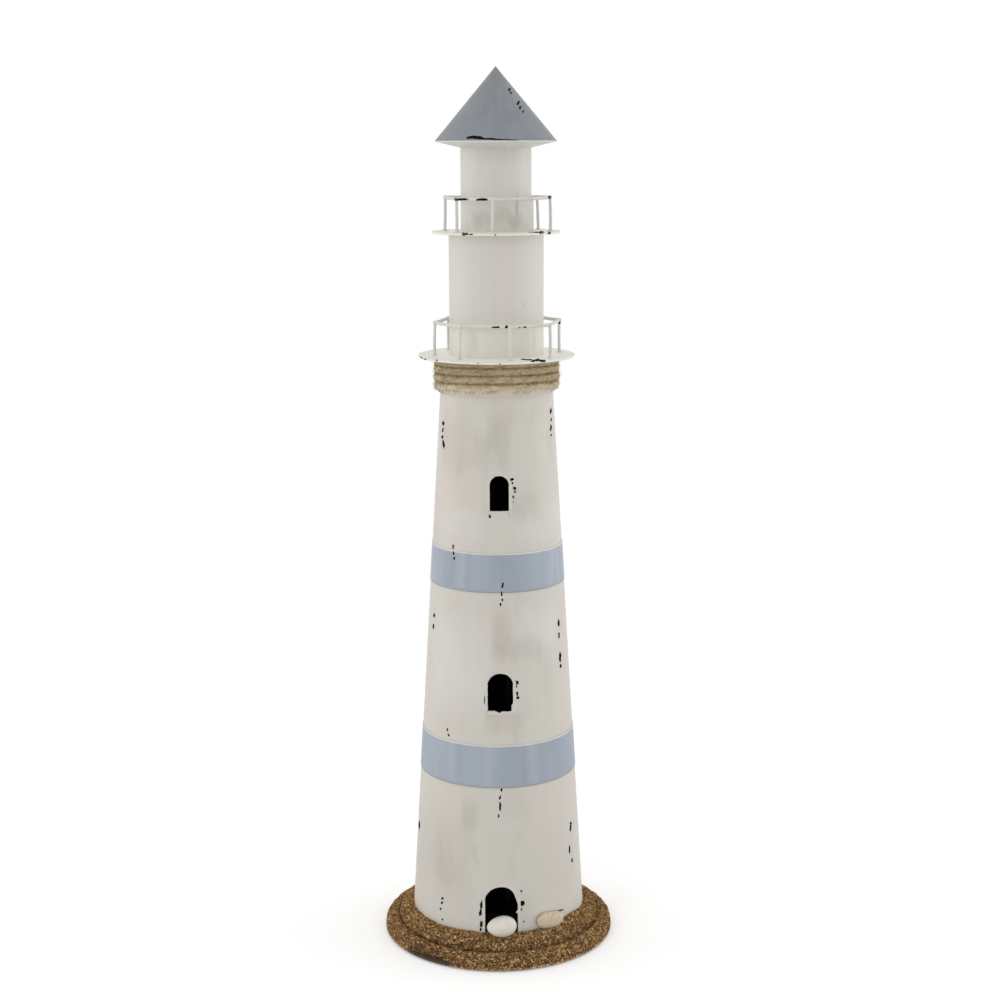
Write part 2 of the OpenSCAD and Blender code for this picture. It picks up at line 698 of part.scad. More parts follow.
module battery_box() color("#1d1e20")
    difference() {
        union() {
            difference() {
                union() {
                    translate([-box_half_w, -box_half_len, plate_top])
                        cube([2 * box_half_w, 2 * box_half_len, box_top - plate_top]);
                    translate([-flange_half_w, -box_half_len - flange_reach, plate_top])
                        cube([2 * flange_half_w, 2 * (box_half_len + flange_reach), flange_t]);
                    translate([box_half_w - 1, -bay_half_len - bay_wall, plate_top])
                        cube([switch_reach + bay_half_w + bay_wall - box_half_w + 1,
                            2 * (bay_half_len + bay_wall), bay_ceiling + bay_wall - plate_top]);
                }
                hatch_room(plate_top - 1, recess_z);
                hinge_bar(knuckle_d / 2 + ear_gap, knuckle_len / 2 + ear_gap);
                translate([-tongue_w / 2 - tongue_room, tongue_y - tongue_t / 2 - tongue_room, 0])
                    cube([tongue_w + 2 * tongue_room, tongue_t + 2 * tongue_room,
                        flange_top + 1]);
            }
            hinge_ears();
            translate([socket_x, 0, box_top - 1])
                cylinder(h = socket_h + 1, d = stem_d + 2 * boss_wall, $fn = 48);
        }
        at_cells() {
            rotate([-90, 0, 0]) translate([0, 0, -cavity_len / 2])
                cylinder(h = cavity_len, r = cell_d / 2 + cell_gap, $fn = 64);
            translate([-cell_d / 2 - cell_gap, -cavity_len / 2, -cell_z])
                cube([cell_d + 2 * cell_gap, cavity_len, cell_z]);
        }
        hinge_bar(hinge_pin_d / 2, ear_out + 1);
        translate([switch_reach - bay_half_w, -bay_half_len, 0])
            cube([2 * bay_half_w, 2 * bay_half_len, bay_ceiling]);
        translate([socket_x, 0, box_top]) cylinder(h = socket_h + 1, d = stem_d, $fn = 48);
        translate([switch_reach, 0, bay_ceiling - 1])
            cylinder(h = bay_wall + 2, d = lead_hole_d, $fn = 32);
        at_box_screws() translate([0, 0, -1])
            cylinder(h = flange_top + 2, d = box_screw_d - 2 * thread_bite, $fn = 32);
    }

module box_screws() color("#b9bcc0")
    at_box_screws() low_screw(box_screw_d, box_head_d, plate_t + flange_t - screw_tail);

module cells() color("#5b7f86")
    at_cells() rotate([-90, 0, 0])
        translate([0, 0, -cavity_len / 2 + contact_t + spring_len]) {
            cylinder(h = cell_len, d = cell_d, $fn = 64);
            translate([0, 0, cell_len - eps])
                cylinder(h = cell_tip_h + eps, d = cell_tip_d, $fn = 32);
        }

module contact_plates() color("#c8c2a8")
    at_cells() {
        translate([-contact_w / 2, -cavity_len / 2, -contact_w / 2])
            cube([contact_w, contact_t, contact_w]);
        translate([-contact_w / 2, cavity_len / 2 - contact_t, -contact_w / 2])
            cube([contact_w, contact_t, contact_w]);
        translate([0, cavity_len / 2 - 2.5 * contact_t, 0]) rotate([-90, 0, 0])
            cylinder(h = 2 * contact_t, d = cell_tip_d - 1, $fn = 32);
    }

module contact_springs() color("#c8c8c8")
    at_cells() translate([0, -cavity_len / 2 + contact_t, 0]) rotate([-90, 0, 0])
        cylinder(h = spring_len, r1 = contact_w * 0.4, r2 = contact_w * 0.28, $fn = 32);

// Grip grooves under the battery door
grip_count = 4;
grip_step = 2.4;
grip_len = 16;
grip_r = 0.6;

// Battery door: a plate with a knuckle at the back and a snap tongue at the front
module battery_door() color("#232427")
    difference() {
        union() {
            translate([-hatch_half_w, hatch_front, hatch_z])
                cube([2 * hatch_half_w, box_half_len - tongue_room - hatch_front, hatch_t]);
            translate([-knuckle_len / 2, hinge_y - knuckle_d, hatch_z])
                cube([knuckle_len, knuckle_d, hatch_t]);
            hinge_bar(knuckle_d / 2, knuckle_len / 2);
            translate([-tongue_w / 2, tongue_y - tongue_t / 2, hatch_z])
                cube([tongue_w, tongue_t, tongue_top - hatch_z]);
            translate([-tongue_w / 2, tongue_y - tongue_t / 2, flange_top + tongue_bead_r])
                rotate([0, 90, 0]) cylinder(h = tongue_w, r = tongue_bead_r, $fn = 24);
        }
        hinge_bar(hinge_pin_d / 2 + pin_gap, knuckle_len);
        for (i = [1:grip_count])
            translate([-grip_len / 2, hatch_front + grip_step * (i + 1), hatch_z])
                rotate([0, 90, 0]) cylinder(h = grip_len, r = grip_r, $fn = 24);
    }

module hinge_pin() color("#b9bcc0")
    hinge_bar(hinge_pin_d / 2, ear_out);

module switch_body() color("#8f9296")
    difference() {
        translate([switch_reach - switch_w / 2, -switch_len / 2, switch_z])
            cube([switch_w, switch_len, switch_h]);
        translate([switch_reach - tab_w / 2 - switch_gap,
            -(switch_travel + tab_w) / 2 - switch_gap, switch_z - 1])
            cube([tab_w + 2 * switch_gap, switch_travel + tab_w + 2 * switch_gap,
                1 + tab_h + switch_gap]);
    }

// Knob through the plate's slot, a shoe that covers the slot and a stem up into the switch
module switch_slider() color("#2f3033")
    translate([switch_reach, -switch_travel / 2, 0]) {
        translate([-knob_w / 2, -knob_len / 2, pad_t / 2])
            cube([knob_w, knob_len, shoe_z - pad_t / 2 + eps]);
        translate([-shoe_w / 2, -shoe_len / 2, shoe_z]) cube([shoe_w, shoe_len, shoe_t]);
        translate([-tab_w / 2, -tab_w / 2, shoe_z + shoe_t - eps])
            cube([tab_w, tab_w, switch_gap + tab_h + eps]);
    }

// Lamp on its stem
stem_head_t = 1.5;
board_z = box_top + stem_h + stem_head_t;
stem_hole_z = box_top + socket_h + lead_hole_d;
chip_w = 2.8;
chip_t = 0.8;
dome_ledge = 0.6;
dome_room = 0.05;

module lamp_stem() color("#17181a")
    difference() {
        translate([socket_x, 0, 0]) {
            translate([0, 0, box_top]) cylinder(h = stem_h, d = stem_d, $fn = 48);
            translate([0, 0, board_z - stem_head_t])
                cylinder(h = stem_head_t, d = stem_d * 2, $fn = 48);
        }
        translate([socket_x, 0, box_top - 1])
            cylinder(h = board_z, d = stem_d - 2 * stem_wall, $fn = 48);
        translate([socket_x, 0, stem_hole_z]) rotate([0, 90, 0])
            cylinder(h = stem_d, d = lead_hole_d, $fn = 32);
    }

module light_board() color("#e8e8e0")
    translate([socket_x, 0, board_z]) cylinder(h = board_t, d = board_d, $fn = 64);

module light_chips() color("#f2d478")
    translate([socket_x, 0, board_z + board_t])
        for (i = [0:chip_count - 1]) rotate(i * 360 / chip_count)
            translate([(board_d - chip_w) / 4, -chip_w / 2, 0]) cube([chip_w, chip_w, chip_t]);

module lamp_dome() color("#eceade") {
    outer_r = board_d / 2 + dome_wall;
    inner_r = board_d / 2 - dome_ledge;
    shoulder_z = board_z + board_t + dome_skirt;
    translate([socket_x, 0, 0]) rotate_extrude($fn = 96)
        polygon(concat([[board_d / 2 + dome_room, board_z], [outer_r, board_z]],
            arc([0, shoulder_z], outer_r, 0, 90, 12),
            arc([0, shoulder_z], inner_r, 90, 0, 12),
            [[inner_r, board_z + board_t], [board_d / 2 + dome_room, board_z + board_t]]));
}

// Straight wire between two points, with a round joint at its far end
module wire(from, to) {
    run = to - from;
    translate(from)
        rotate([0, acos(run[2] / norm(run)), atan2(run[1], run[0])])
            cylinder(h = norm(run), d = lead_d, $fn = 16);
}

module supply_leads() color("#7c2c26")
    for (side = [-1, 1]) {
        path = [[switch_reach, side * lead_spread, bay_ceiling],
            [switch_reach, side * lead_spread, stem_hole_z],
            [socket_x, side * lead_spread, stem_hole_z],
            [socket_x, side * lead_spread, board_z]];
        for (i = [0:2]) wire(path[i], path[i + 1]);
        for (i = [1, 2]) translate(path[i]) sphere(d = lead_d, $fn = 16);
    }

foot_pads();
base_plate();
sand_bed();
tower_shell();
door_frame();
lower_window_frame();
upper_window_frame();
lower_band();
upper_band();
foot_ring();
ring_screws();
ring_nuts();
neck_tube();
rope_collar();
lower_gallery();
lower_posts();
lower_handrail();
middle_drum();
upper_gallery();
upper_posts();
upper_handrail();
lantern_drum();
roof_soffit();
roof_cone();
doorstep_pebble();
sea_shell();
battery_box();
box_screws();
cells();
contact_plates();
contact_springs();
battery_door();
hinge_pin();
switch_body();
switch_slider();
lamp_stem();
light_board();
light_chips();
lamp_dome();
supply_leads();
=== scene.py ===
import math

import bmesh
import bpy
import numpy as np
from mathutils import Matrix, Vector, noise
from mathutils.bvhtree import BVHTree


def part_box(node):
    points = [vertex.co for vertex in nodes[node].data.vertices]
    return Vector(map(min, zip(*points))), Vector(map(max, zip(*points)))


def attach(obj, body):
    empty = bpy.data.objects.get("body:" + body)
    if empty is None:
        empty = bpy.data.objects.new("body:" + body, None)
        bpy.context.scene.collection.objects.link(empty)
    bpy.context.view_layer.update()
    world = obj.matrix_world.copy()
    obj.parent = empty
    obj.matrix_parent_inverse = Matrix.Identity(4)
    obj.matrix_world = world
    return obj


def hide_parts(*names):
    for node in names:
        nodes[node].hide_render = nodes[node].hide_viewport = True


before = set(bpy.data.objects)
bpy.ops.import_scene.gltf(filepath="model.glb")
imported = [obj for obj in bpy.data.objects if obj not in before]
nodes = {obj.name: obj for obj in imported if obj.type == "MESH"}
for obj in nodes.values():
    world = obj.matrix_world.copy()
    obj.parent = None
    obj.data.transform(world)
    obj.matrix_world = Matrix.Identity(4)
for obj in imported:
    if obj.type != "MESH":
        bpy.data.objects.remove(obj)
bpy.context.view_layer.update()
mm = 0.001
print("frame loaded,", len(nodes), "nodes")


def rgb(red, green, blue):
    # screen colour 0-255 to the shader's linear colour
    linear = [c / 255 / 12.92 if c <= 10 else ((c / 255 + 0.055) / 1.055) ** 2.4
              for c in (red, green, blue)]
    return (*linear, 1.0)


# a number in a shader: Python operators on it add Math nodes
class Value:
    def __init__(self, finish, socket):
        self.finish = finish
        self.socket = socket

    def math(self, operation, *terms):
        return self.finish.add("ShaderNodeMath", {"operation": operation}, dict(enumerate(terms)))

    def __add__(self, other):
        return self.math("ADD", self, other)

    __radd__ = __add__

    def __mul__(self, other):
        return self.math("MULTIPLY", self, other)

    __rmul__ = __mul__

    def __sub__(self, other):
        return self.math("SUBTRACT", self, other)

    def __rsub__(self, other):
        return self.math("SUBTRACT", other, self)

    def __truediv__(self, other):
        return self.math("DIVIDE", self, other)

    def __pow__(self, other):
        return self.math("POWER", self, other)

    def __gt__(self, other):
        return self.math("GREATER_THAN", self, other)

    def __lt__(self, other):
        return self.math("LESS_THAN", self, other)


class Finish:
    def __init__(self, name, **fixed):
        self.material = bpy.data.materials.new(name)
        self.material.use_nodes = True
        self.tree = self.material.node_tree
        self.shader = self.tree.nodes["Principled BSDF"]
        for label, value in fixed.items():
            self.shader.inputs[label.replace("_", " ")].default_value = value

    def add(self, kind, settings=None, inputs=None, output=0):
        node = self.tree.nodes.new(kind)
        for key, value in (settings or {}).items():
            if key == "stops":
                while len(node.color_ramp.elements) < len(value):
                    node.color_ramp.elements.new(0.5)
                for element, (position, colour) in zip(node.color_ramp.elements, value):
                    element.position, element.color = position, colour
            else:
                setattr(node, key, value)
        for key, value in (inputs or {}).items():
            self.plug(node.inputs[key], value)
        return Value(self, node.outputs[output])

    def plug(self, socket, value):
        if isinstance(value, Value):
            self.tree.links.new(value.socket, socket)
        else:
            socket.default_value = value

    def use(self, label, value):
        self.plug(self.shader.inputs[label], value)

    def place(self):
        return self.add("ShaderNodeTexCoord", output="Object")

    def split(self, vector):
        part = self.add("ShaderNodeSeparateXYZ", {}, {0: vector}).socket.node
        return [Value(self, out) for out in part.outputs]

    def join(self, x, y, z):
        return self.add("ShaderNodeCombineXYZ", {}, {0: x, 1: y, 2: z})

    def fromAxis(self, place=None):
        # x, y, z and the distance from the axis
        x, y, z = self.split(place or self.place())
        return x, y, z, (x * x + y * y) ** 0.5

    def cloud(self, where, scale, detail=3.0, rough=0.55):
        return self.add("ShaderNodeTexNoise", {}, {
            "Vector": where, "Scale": scale, "Detail": detail, "Roughness": rough}, "Fac")

    def cells(self, where, scale, output="Distance"):
        return self.add("ShaderNodeTexVoronoi", {}, {"Vector": where, "Scale": scale}, output)

    def step(self, value, low, high):
        return self.add("ShaderNodeMapRange", {"interpolation_type": "SMOOTHSTEP"}, {
            "Value": value, "From Min": low, "From Max": high})

    def mix(self, factor, first, second, blend="MIX"):
        return self.add("ShaderNodeMix", {"data_type": "RGBA", "blend_type": blend}, {
            0: factor, 6: first, 7: second}, 2)

    def ramp(self, value, stops):
        return self.add("ShaderNodeValToRGB", {"stops": stops}, {0: value}, "Color")

    def bump(self, height, distance):
        self.use("Normal", self.add("ShaderNodeBump", {}, {
            "Height": height, "Distance": distance, "Strength": 1.0}, "Normal"))

    def around(self, reach, lengthways):
        # place round the axis, so that streaks follow the tower's slope
        x, y, z = self.split(self.place())
        flat = self.add("ShaderNodeVectorMath", {"operation": "NORMALIZE"}, {0: self.join(x, y, 0.0)})
        alongX, alongY, _ = self.split(flat)
        return self.join(alongX * reach, alongY * reach, z * lengthways)


paint = {
    "white": (202, 199, 190), "warm": (204, 197, 188), "cool": (200, 200, 189), "grime": (172, 165, 155),
    "pale": (206, 203, 196), "paleGreen": (204, 203, 194), "paleWarm": (207, 201, 194),
    "blue": (158, 168, 179), "blueDeep": (148, 157, 168), "bluePale": (172, 179, 189),
    "roof": (133, 138, 143), "roofDeep": (126, 131, 136), "roofPale": (143, 147, 152),
    "smear": (160, 149, 141), "dust": (190, 180, 162), "bare": (10, 10, 9), "unlit": (12, 11, 10),
}
shade = {name: rgb(*colour) for name, colour in paint.items()}

# sizes that several pieces share, in mm
tower = {"footR": 64.4, "foot": 2.7, "top": 405.8, "taper": 0.06016, "sheet": 0.8}
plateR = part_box("base_plate")[1][0] / mm
sand = {"seed": 11, "grains": 60000, "long": (0.55, 1.05), "wide": (0.26, 0.44), "thick": (0.22, 0.36),
        "inner": (64.0, 10.8, 9.1), "outer": (plateR - 7.5, 3.2, 7.0), "lumps": 0.6,
        "barePlace": -129.0, "bareSpan": 12.0, "bareGrains": 0.35, "doorHalf": 11.6,
        "moundPlace": -38.0, "moundSpan": 15.0, "moundHigh": 3.0,
        "hollowR": 62.6, "floor": 2.72, "grainLow": 2.9, "cornerLow": 2.71, "wallFoot": 17}


def towerR(z):
    return tower["footR"] - tower["taper"] * (z - tower["foot"])


def brushedPaint(name, tints, roughness=0.46, streak=0.09, spots=(), paintedLightFoot=None):
    f = Finish(name, Specular_IOR_Level=0.35)
    lane = f.around(0.05, streak)
    broad = f.cloud(lane, 30, 2)
    lanes = f.cloud(lane, 95, 3, 0.5)
    fine = f.cloud(f.around(0.05, 0.04), 520, 4, 0.7)
    tone = f.mix(f.step(broad, 0.32, 0.68), shade[tints[0]], shade[tints[1]])
    tone = f.mix(f.step(lanes, 0.40, 0.75) * 0.4, tone, shade[tints[2]])
    tone = f.mix(f.step(fine, 0.50, 0.85) * 0.14, tone, shade["grime"])
    # painted light: the lowest part of the drum is made lighter, against the shade that the disc and its
    # posts throw there
    if paintedLightFoot:
        z = f.split(f.place())[2]
        low, high, strength, colour = paintedLightFoot
        tone = f.mix((1 - f.step(z, low * mm, high * mm)) * strength, tone, rgb(*colour))
    # on the drums these spots hold smears and painted shadows of the posts, rail and roof, all mixed in the
    # smear colour
    if spots:
        tone = f.mix(smearAndShadowMask(f, spots), tone, shade["smear"])
    f.use("Base Color", tone)
    f.use("Roughness", roughness + 0.10 * (fine - 0.5) + 0.08 * (broad - 0.5))
    f.bump(fine * 0.6 + lanes, 0.00012)
    return f.material


def roofPaint():
    f = Finish("roofPaint", Specular_IOR_Level=0.4)
    lane = f.around(0.03, 0.35)
    patches = f.cloud(f.place(), 36, 3)
    lanes = f.cloud(lane, 130, 3)
    speck = f.cloud(f.place(), 1500, 2)
    tone = f.mix(f.step(patches, 0.35, 0.65), shade["roof"], shade["roofDeep"])
    tone = f.mix(f.step(lanes, 0.45, 0.8) * 0.4, tone, shade["roofPale"])
    f.use("Base Color", tone)
    f.use("Roughness", 0.5 + 0.14 * (patches - 0.5))
    f.bump(speck + 2.0 * patches, 0.00008)
    return f.material


def sisalFinish():
    f = Finish("sisal", Roughness=0.82, Specular_IOR_Level=0.2)
    lane = f.around(0.011, 1.0)
    strands = f.cloud(lane, 1500, 4, 0.7)
    blotch = f.cloud(f.place(), 170, 3)
    tone = f.ramp(strands, [(0.30, rgb(136, 116, 80)), (0.46, rgb(182, 163, 129)),
                            (0.62, rgb(203, 187, 155)), (0.8, rgb(222, 209, 183))])
    tone = f.mix(f.step(blotch, 0.5, 0.75) * 0.35, tone, rgb(160, 140, 104))
    # paler lower down, and nearly the tower's white where it meets the tower
    level = f.split(f.place())[2] + 0.002 * (blotch - 0.5)
    dusty, whitened = [1 - f.step(level, *[z * mm for z in rope[key]]) for key in ("dusty", "whitened")]
    tone = f.mix(dusty * 0.6, tone, rgb(222, 210, 186))
    f.use("Base Color", f.mix(whitened * 0.9, tone, rgb(205, 199, 189)))
    f.bump(strands, 0.0004)
    return f.material


def speckled(name, first, second, scale, roughness, bumpDepth=0.00005, **fixed):
    f = Finish(name, **fixed)
    mottle = f.cloud(f.place(), scale, 4)
    f.use("Base Color", f.mix(f.step(mottle, 0.35, 0.65), rgb(*first), rgb(*second)))
    f.use("Roughness", roughness + 0.12 * (mottle - 0.5))
    f.bump(mottle, bumpDepth)
    return f.material


# soft smears, pale patches and painted shadows: degrees from the front, half width in degrees, lowest and
# highest point in mm, strength
smearsAndShadows = {
    "tower": [(0.0, 7.0, 348, 404, 0.30), (-17.0, 6.0, 352, 388, 0.15), (22.0, 8.0, 314, 346, 0.18),
              (1.0, 5.0, 215, 264, 0.26), (20.0, 11.0, 212, 242, 0.22), (3.0, 10.0, 161, 188, 0.18),
              (-22.0, 5.0, 88, 126, 0.16), (12.0, 8.0, 96, 127, 0.10), (150.0, 10.0, 60, 210, 0.25),
              (-140.0, 12.0, 230, 400, 0.25), (100.0, 8.0, 170, 330, 0.22), (-95.0, 9.0, 30, 150, 0.22),
              (-48.0, 16.0, 340, 404, 0.22), (-50.0, 18.0, 20, 122, 0.22), (45.0, 14.0, 20, 110, 0.10)],
    "towerPale": [(-36.0, 20.0, 165, 264, 0.34), (36.0, 13.0, 215, 264, 0.30), (-36.0, 15.0, 298, 332, 0.24),
                  (34.0, 12.0, 298, 330, 0.22), (-170.0, 18.0, 180, 260, 0.3), (80.0, 16.0, 300, 340, 0.25)],
    # middle: the first two are painted shadows of two railing posts on the drum, the others are smears
    "middle": [(-29.0, 2.2, 433, 453, 0.20), (50.0, 2.2, 433, 453, 0.22),
               (33.4, 1.6, 460, 468, 0.30), (160.0, 12.0, 445, 500, 0.15), (-120.0, 9.0, 436, 480, 0.15)],
    # lantern: the first two are painted shade under the rail, the third painted shade under the roof's eave,
    # the fourth a painted shadow of a railing post; the last two are smears
    "lantern": [(-28.0, 13.0, 519, 537, 0.26), (19.0, 17.0, 519, 537, 0.28), (0.0, 60.0, 562, 588, 0.10),
                (33.5, 1.8, 528, 549, 0.42), (140.0, 14.0, 520, 560, 0.15), (-110.0, 10.0, 522, 550, 0.15)],
}


def smearAndShadowMask(f, spots):
    # each smear, and each painted shadow, is a soft upright patch, broken up by streaky noise
    x, y, z, reach = f.fromAxis()
    wobble = f.cloud(f.around(0.05, 0.35), 60, 3) - 0.5
    height = z + 0.02 * wobble
    total = 0.0
    for turnDeg, spread, low, high, strength in spots:
        a = math.radians(turnDeg - 90)
        ahead = (x * math.cos(a) + y * math.sin(a)) / reach
        edge = math.cos(math.radians(2 * spread))
        side = f.step(ahead + (1 - edge) * wobble, edge, 1.0)
        fade = 0.42 * (high - low)
        rise = f.step(height, low * mm, (low + fade) * mm)
        total = total + strength * side * rise * (1 - f.step(height, (high - fade) * mm, high * mm))
    return total * (1 + 1.6 * wobble)


def towerPaint():
    f = Finish("towerPaint", Specular_IOR_Level=0.35)
    lane = f.around(0.05, 0.09)
    broad = f.cloud(f.around(0.06, 0.22), 34, 2)
    lanes = f.cloud(lane, 110, 3, 0.5)
    fine = f.cloud(f.around(0.05, 0.04), 520, 4, 0.7)
    smear = f.cloud(f.around(0.05, 0.35), 60, 3)
    tone = f.mix(f.step(broad, 0.34, 0.66), shade["white"], shade["warm"])
    tone = f.mix(f.step(lanes, 0.42, 0.74) * 0.6, tone, shade["cool"])
    tone = f.mix(f.step(smear, 0.48, 0.72) * 0.4, tone, rgb(188, 183, 175))
    tone = f.mix(f.step(fine, 0.50, 0.85) * 0.14, tone, shade["grime"])
    tone = f.mix(smearAndShadowMask(f, smearsAndShadows["towerPale"]), tone, rgb(220, 220, 218))
    tone = f.mix(smearAndShadowMask(f, smearsAndShadows["tower"]), tone, shade["smear"])
    x, y, z, reach = f.fromAxis()
    tone = f.mix(f.step(z, (tower["top"] - 4.6) * mm, tower["top"] * mm) * 0.45, tone, shade["dust"])
    skin = reach + tower["taper"] * z    # the same all the way up a sheet that tapers
    inside = (skin < (towerR(0) - 0.58 * tower["sheet"]) * mm) * (z < (tower["top"] - 1.6) * mm)
    f.use("Base Color", f.mix(inside, tone, shade["unlit"]))
    f.use("Roughness", 0.46 + 0.10 * (fine - 0.5) + 0.08 * (broad - 0.5) + 0.3 * inside)
    f.bump(fine * 0.6 + lanes, 0.00012)
    return f.material


def bandPaint(name, node):
    f = Finish(name, Specular_IOR_Level=0.4)
    foot, top = [corner[2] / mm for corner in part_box(node)]
    lane = f.around(0.05, 0.1)
    broad = f.cloud(lane, 42, 1)
    lanes = f.cloud(lane, 85, 2, 0.4)
    fine = f.cloud(f.place(), 900, 3, 0.7)
    tone = f.mix(f.step(broad, 0.33, 0.67), shade["blue"], shade["blueDeep"])
    tone = f.mix(f.step(lanes, 0.38, 0.80) * 0.75, tone, shade["bluePale"])
    level = f.split(f.place())[2] + 0.0005 * (f.cloud(f.place(), 110, 2) - 0.5)
    # painted light on the raised band: a pale painted highlight along its top edge, greyer painted shade
    # along its lower edge and a dark painted shadow line at its foot
    lipHighlight = f.step(level, (top - 1.2) * mm, (top - 0.8) * mm)
    lowEdgeShade = 1 - f.step(level, (foot + 1.5) * mm, (foot + 2.3) * mm)
    shadow = 1 - f.step(level, (foot + 0.2) * mm, (foot + 0.6) * mm)
    tone = f.mix(lipHighlight * 0.9, tone, rgb(212, 210, 205))
    tone = f.mix(lowEdgeShade * 0.7, tone, rgb(156, 158, 164))
    tone = f.mix(shadow * 0.5, tone, rgb(96, 98, 100))
    f.use("Base Color", tone)
    f.use("Roughness", 0.42 + 0.12 * (broad - 0.5))
    f.bump(fine * 0.4 + lanes, 0.0001)
    return f.material


def discPaint(name, node):
    f = Finish(name, Specular_IOR_Level=0.35)
    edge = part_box(node)[1][0] / mm
    place = f.place()
    soft = f.cloud(place, 45, 3)
    fine = f.cloud(place, 500, 4, 0.7)
    reach = f.fromAxis(place)[3]
    # painted light: lighter near the drum and darker towards the rim, against the shade that the drum and
    # posts throw on the disc
    outer = f.step(reach + 0.012 * (soft - 0.5), (edge - 21) * mm, (edge + 1) * mm)
    tone = f.mix(outer, rgb(243, 242, 233), rgb(228, 227, 216))
    tone = f.mix(f.step(fine, 0.55, 0.8) * 0.12, tone, shade["grime"])
    worn = f.step(reach, (edge - 0.9) * mm, (edge - 0.3) * mm) * f.step(f.cloud(place, 190, 4), 0.63, 0.68)
    f.use("Base Color", f.mix(worn, tone, shade["bare"]))
    f.use("Roughness", 0.45 + 0.12 * (fine - 0.5))
    f.bump(fine, 0.00006)
    return f.material


def grainTone(f, place):
    pick = f.split(f.cells(place, 900, "Color"))[0]
    return f.ramp(pick, [(0.0, rgb(78, 52, 26)), (0.3, rgb(126, 92, 52)), (0.7, rgb(167, 129, 81)),
                         (0.9, rgb(208, 171, 117)), (1.0, rgb(234, 207, 158))])


def plateFinish():
    # dark paint, with sand stuck to the rim except where the paint is bare
    f = Finish("platePaint", Specular_IOR_Level=0.3)
    place = f.place()
    x, y, z, reach = f.fromAxis(place)
    a = math.radians(sand["barePlace"])
    ahead = (x * math.cos(a) + y * math.sin(a)) / reach
    bare = f.step(ahead, math.cos(math.radians(18)), math.cos(math.radians(10)))
    mottle = f.cloud(place, 260, 4)
    dark = f.mix(f.step(mottle, 0.25, 0.75), rgb(60, 51, 43), rgb(80, 68, 56))
    rim = f.step(reach, (plateR - 1.2) * mm, (plateR - 0.4) * mm) * (1 - bare)
    f.use("Base Color", f.mix(rim, dark, grainTone(f, place)))
    f.use("Roughness", 0.6 + 0.25 * rim)
    f.bump(mottle + rim * f.cells(place, 1600), 0.00015)
    return f.material


def leadJacket():
    f = Finish("leadJacket", Roughness=0.45)
    y = f.split(f.place())[1]
    f.use("Base Color", f.mix(y > 0.0, rgb(28, 28, 30), rgb(150, 30, 26)))
    f.bump(f.cloud(f.place(), 2500), 0.00002)
    return f.material


def cellJacket():
    f = Finish("cellJacket", Roughness=0.32)
    x, y, z = f.split(f.place())
    middle = x * x < (7.75 * mm) ** 2    # the middle cell lies the other way round
    capEnd = f.step(y * (1 - 2 * middle), 8.5 * mm, 8.8 * mm)
    metalEnd = y * y > (24.74 * mm) ** 2
    tone = f.mix(capEnd, rgb(42, 46, 50), rgb(176, 120, 62))
    f.use("Base Color", f.mix(metalEnd, tone, rgb(196, 196, 194)))
    f.use("Metallic", 1.0 * metalEnd)
    f.bump(f.cloud(f.place(), 1800), 0.00002)
    return f.material


def lampChip():
    f = Finish("lampChip", Roughness=0.3)
    spot = f.cells(f.place(), 300)
    f.use("Base Color", f.mix(f.step(spot, 0.2, 0.7), rgb(240, 214, 96), rgb(232, 232, 222)))
    f.bump(f.cloud(f.place(), 3000), 0.00002)
    return f.material


print("finishes")
blackPaint = speckled("blackPaint", (20, 20, 21), (34, 33, 32), 300, 0.55)
blackPlastic = speckled("blackPlastic", (26, 27, 29), (34, 35, 38), 2200, 0.5, 0.00004)
padFoam = speckled("padFoam", (30, 30, 31), (52, 51, 50), 900, 0.9, 0.0003)
zinc = speckled("zincSteel", (168, 168, 166), (196, 197, 198), 700, 0.34, 0.00003, Metallic=1.0)
springWire = speckled("springWire", (190, 190, 188), (208, 206, 200), 900, 0.28, 0.00002, Metallic=1.0)
frosted = speckled("frostedPlastic", (226, 228, 226), (238, 238, 234), 500, 0.5, 0.00004,
                   Transmission_Weight=0.5, IOR=1.49)
boardMask = speckled("boardMask", (228, 228, 222), (240, 240, 236), 600, 0.4)
stone = speckled("whiteStone", (222, 216, 205), (213, 206, 195), 130, 0.42, 0.00006)
soffitPaint = speckled("soffitPaint", (211, 210, 203), (203, 202, 195), 90, 0.55, 0.0001)
bareIronAndShadow = speckled("bareIronAndShadow", (6, 6, 6), (16, 12, 9), 420, 0.85, 0.0001, Specular_IOR_Level=0.1)

whitePaint = brushedPaint("whitePaint", ("white", "warm", "cool"))
finishOf = {
    "foot_pads": padFoam, "base_plate": plateFinish(), "tower_shell": towerPaint(),
    "lower_band": bandPaint("lowerBandPaint", "lower_band"),
    "upper_band": bandPaint("upperBandPaint", "upper_band"),
    "foot_ring": zinc, "ring_screws": zinc, "ring_nuts": zinc, "neck_tube": whitePaint,
    "lower_gallery": discPaint("lowerDiscPaint", "lower_gallery"),
    "upper_gallery": discPaint("upperDiscPaint", "upper_gallery"),
    "middle_drum": brushedPaint("middleDrumPaint", ("pale", "paleWarm", "paleGreen"),
                                 spots=smearsAndShadows["middle"], paintedLightFoot=(446, 462, 0.5, (226, 224, 211))),
    "lantern_drum": brushedPaint("lanternPaint", ("pale", "paleGreen", "paleWarm"), 0.42, 0.12,
                                 smearsAndShadows["lantern"]),
    "roof_soffit": soffitPaint, "roof_cone": roofPaint(), "battery_box": blackPlastic,
    "box_screws": zinc, "cells": cellJacket(), "contact_plates": springWire,
    "battery_door": blackPlastic, "hinge_pin": zinc, "switch_body": blackPlastic,
    "switch_slider": speckled("sliderPlastic", (198, 60, 48), (186, 52, 42), 900, 0.45),
    "lamp_stem": blackPaint, "light_board": boardMask, "light_chips": lampChip(),
    "lamp_dome": frosted, "supply_leads": leadJacket(),
}
for name, finish in finishOf.items():
    data = nodes[name].data
    data.materials.clear()
    data.materials.append(finish)

print("camera")
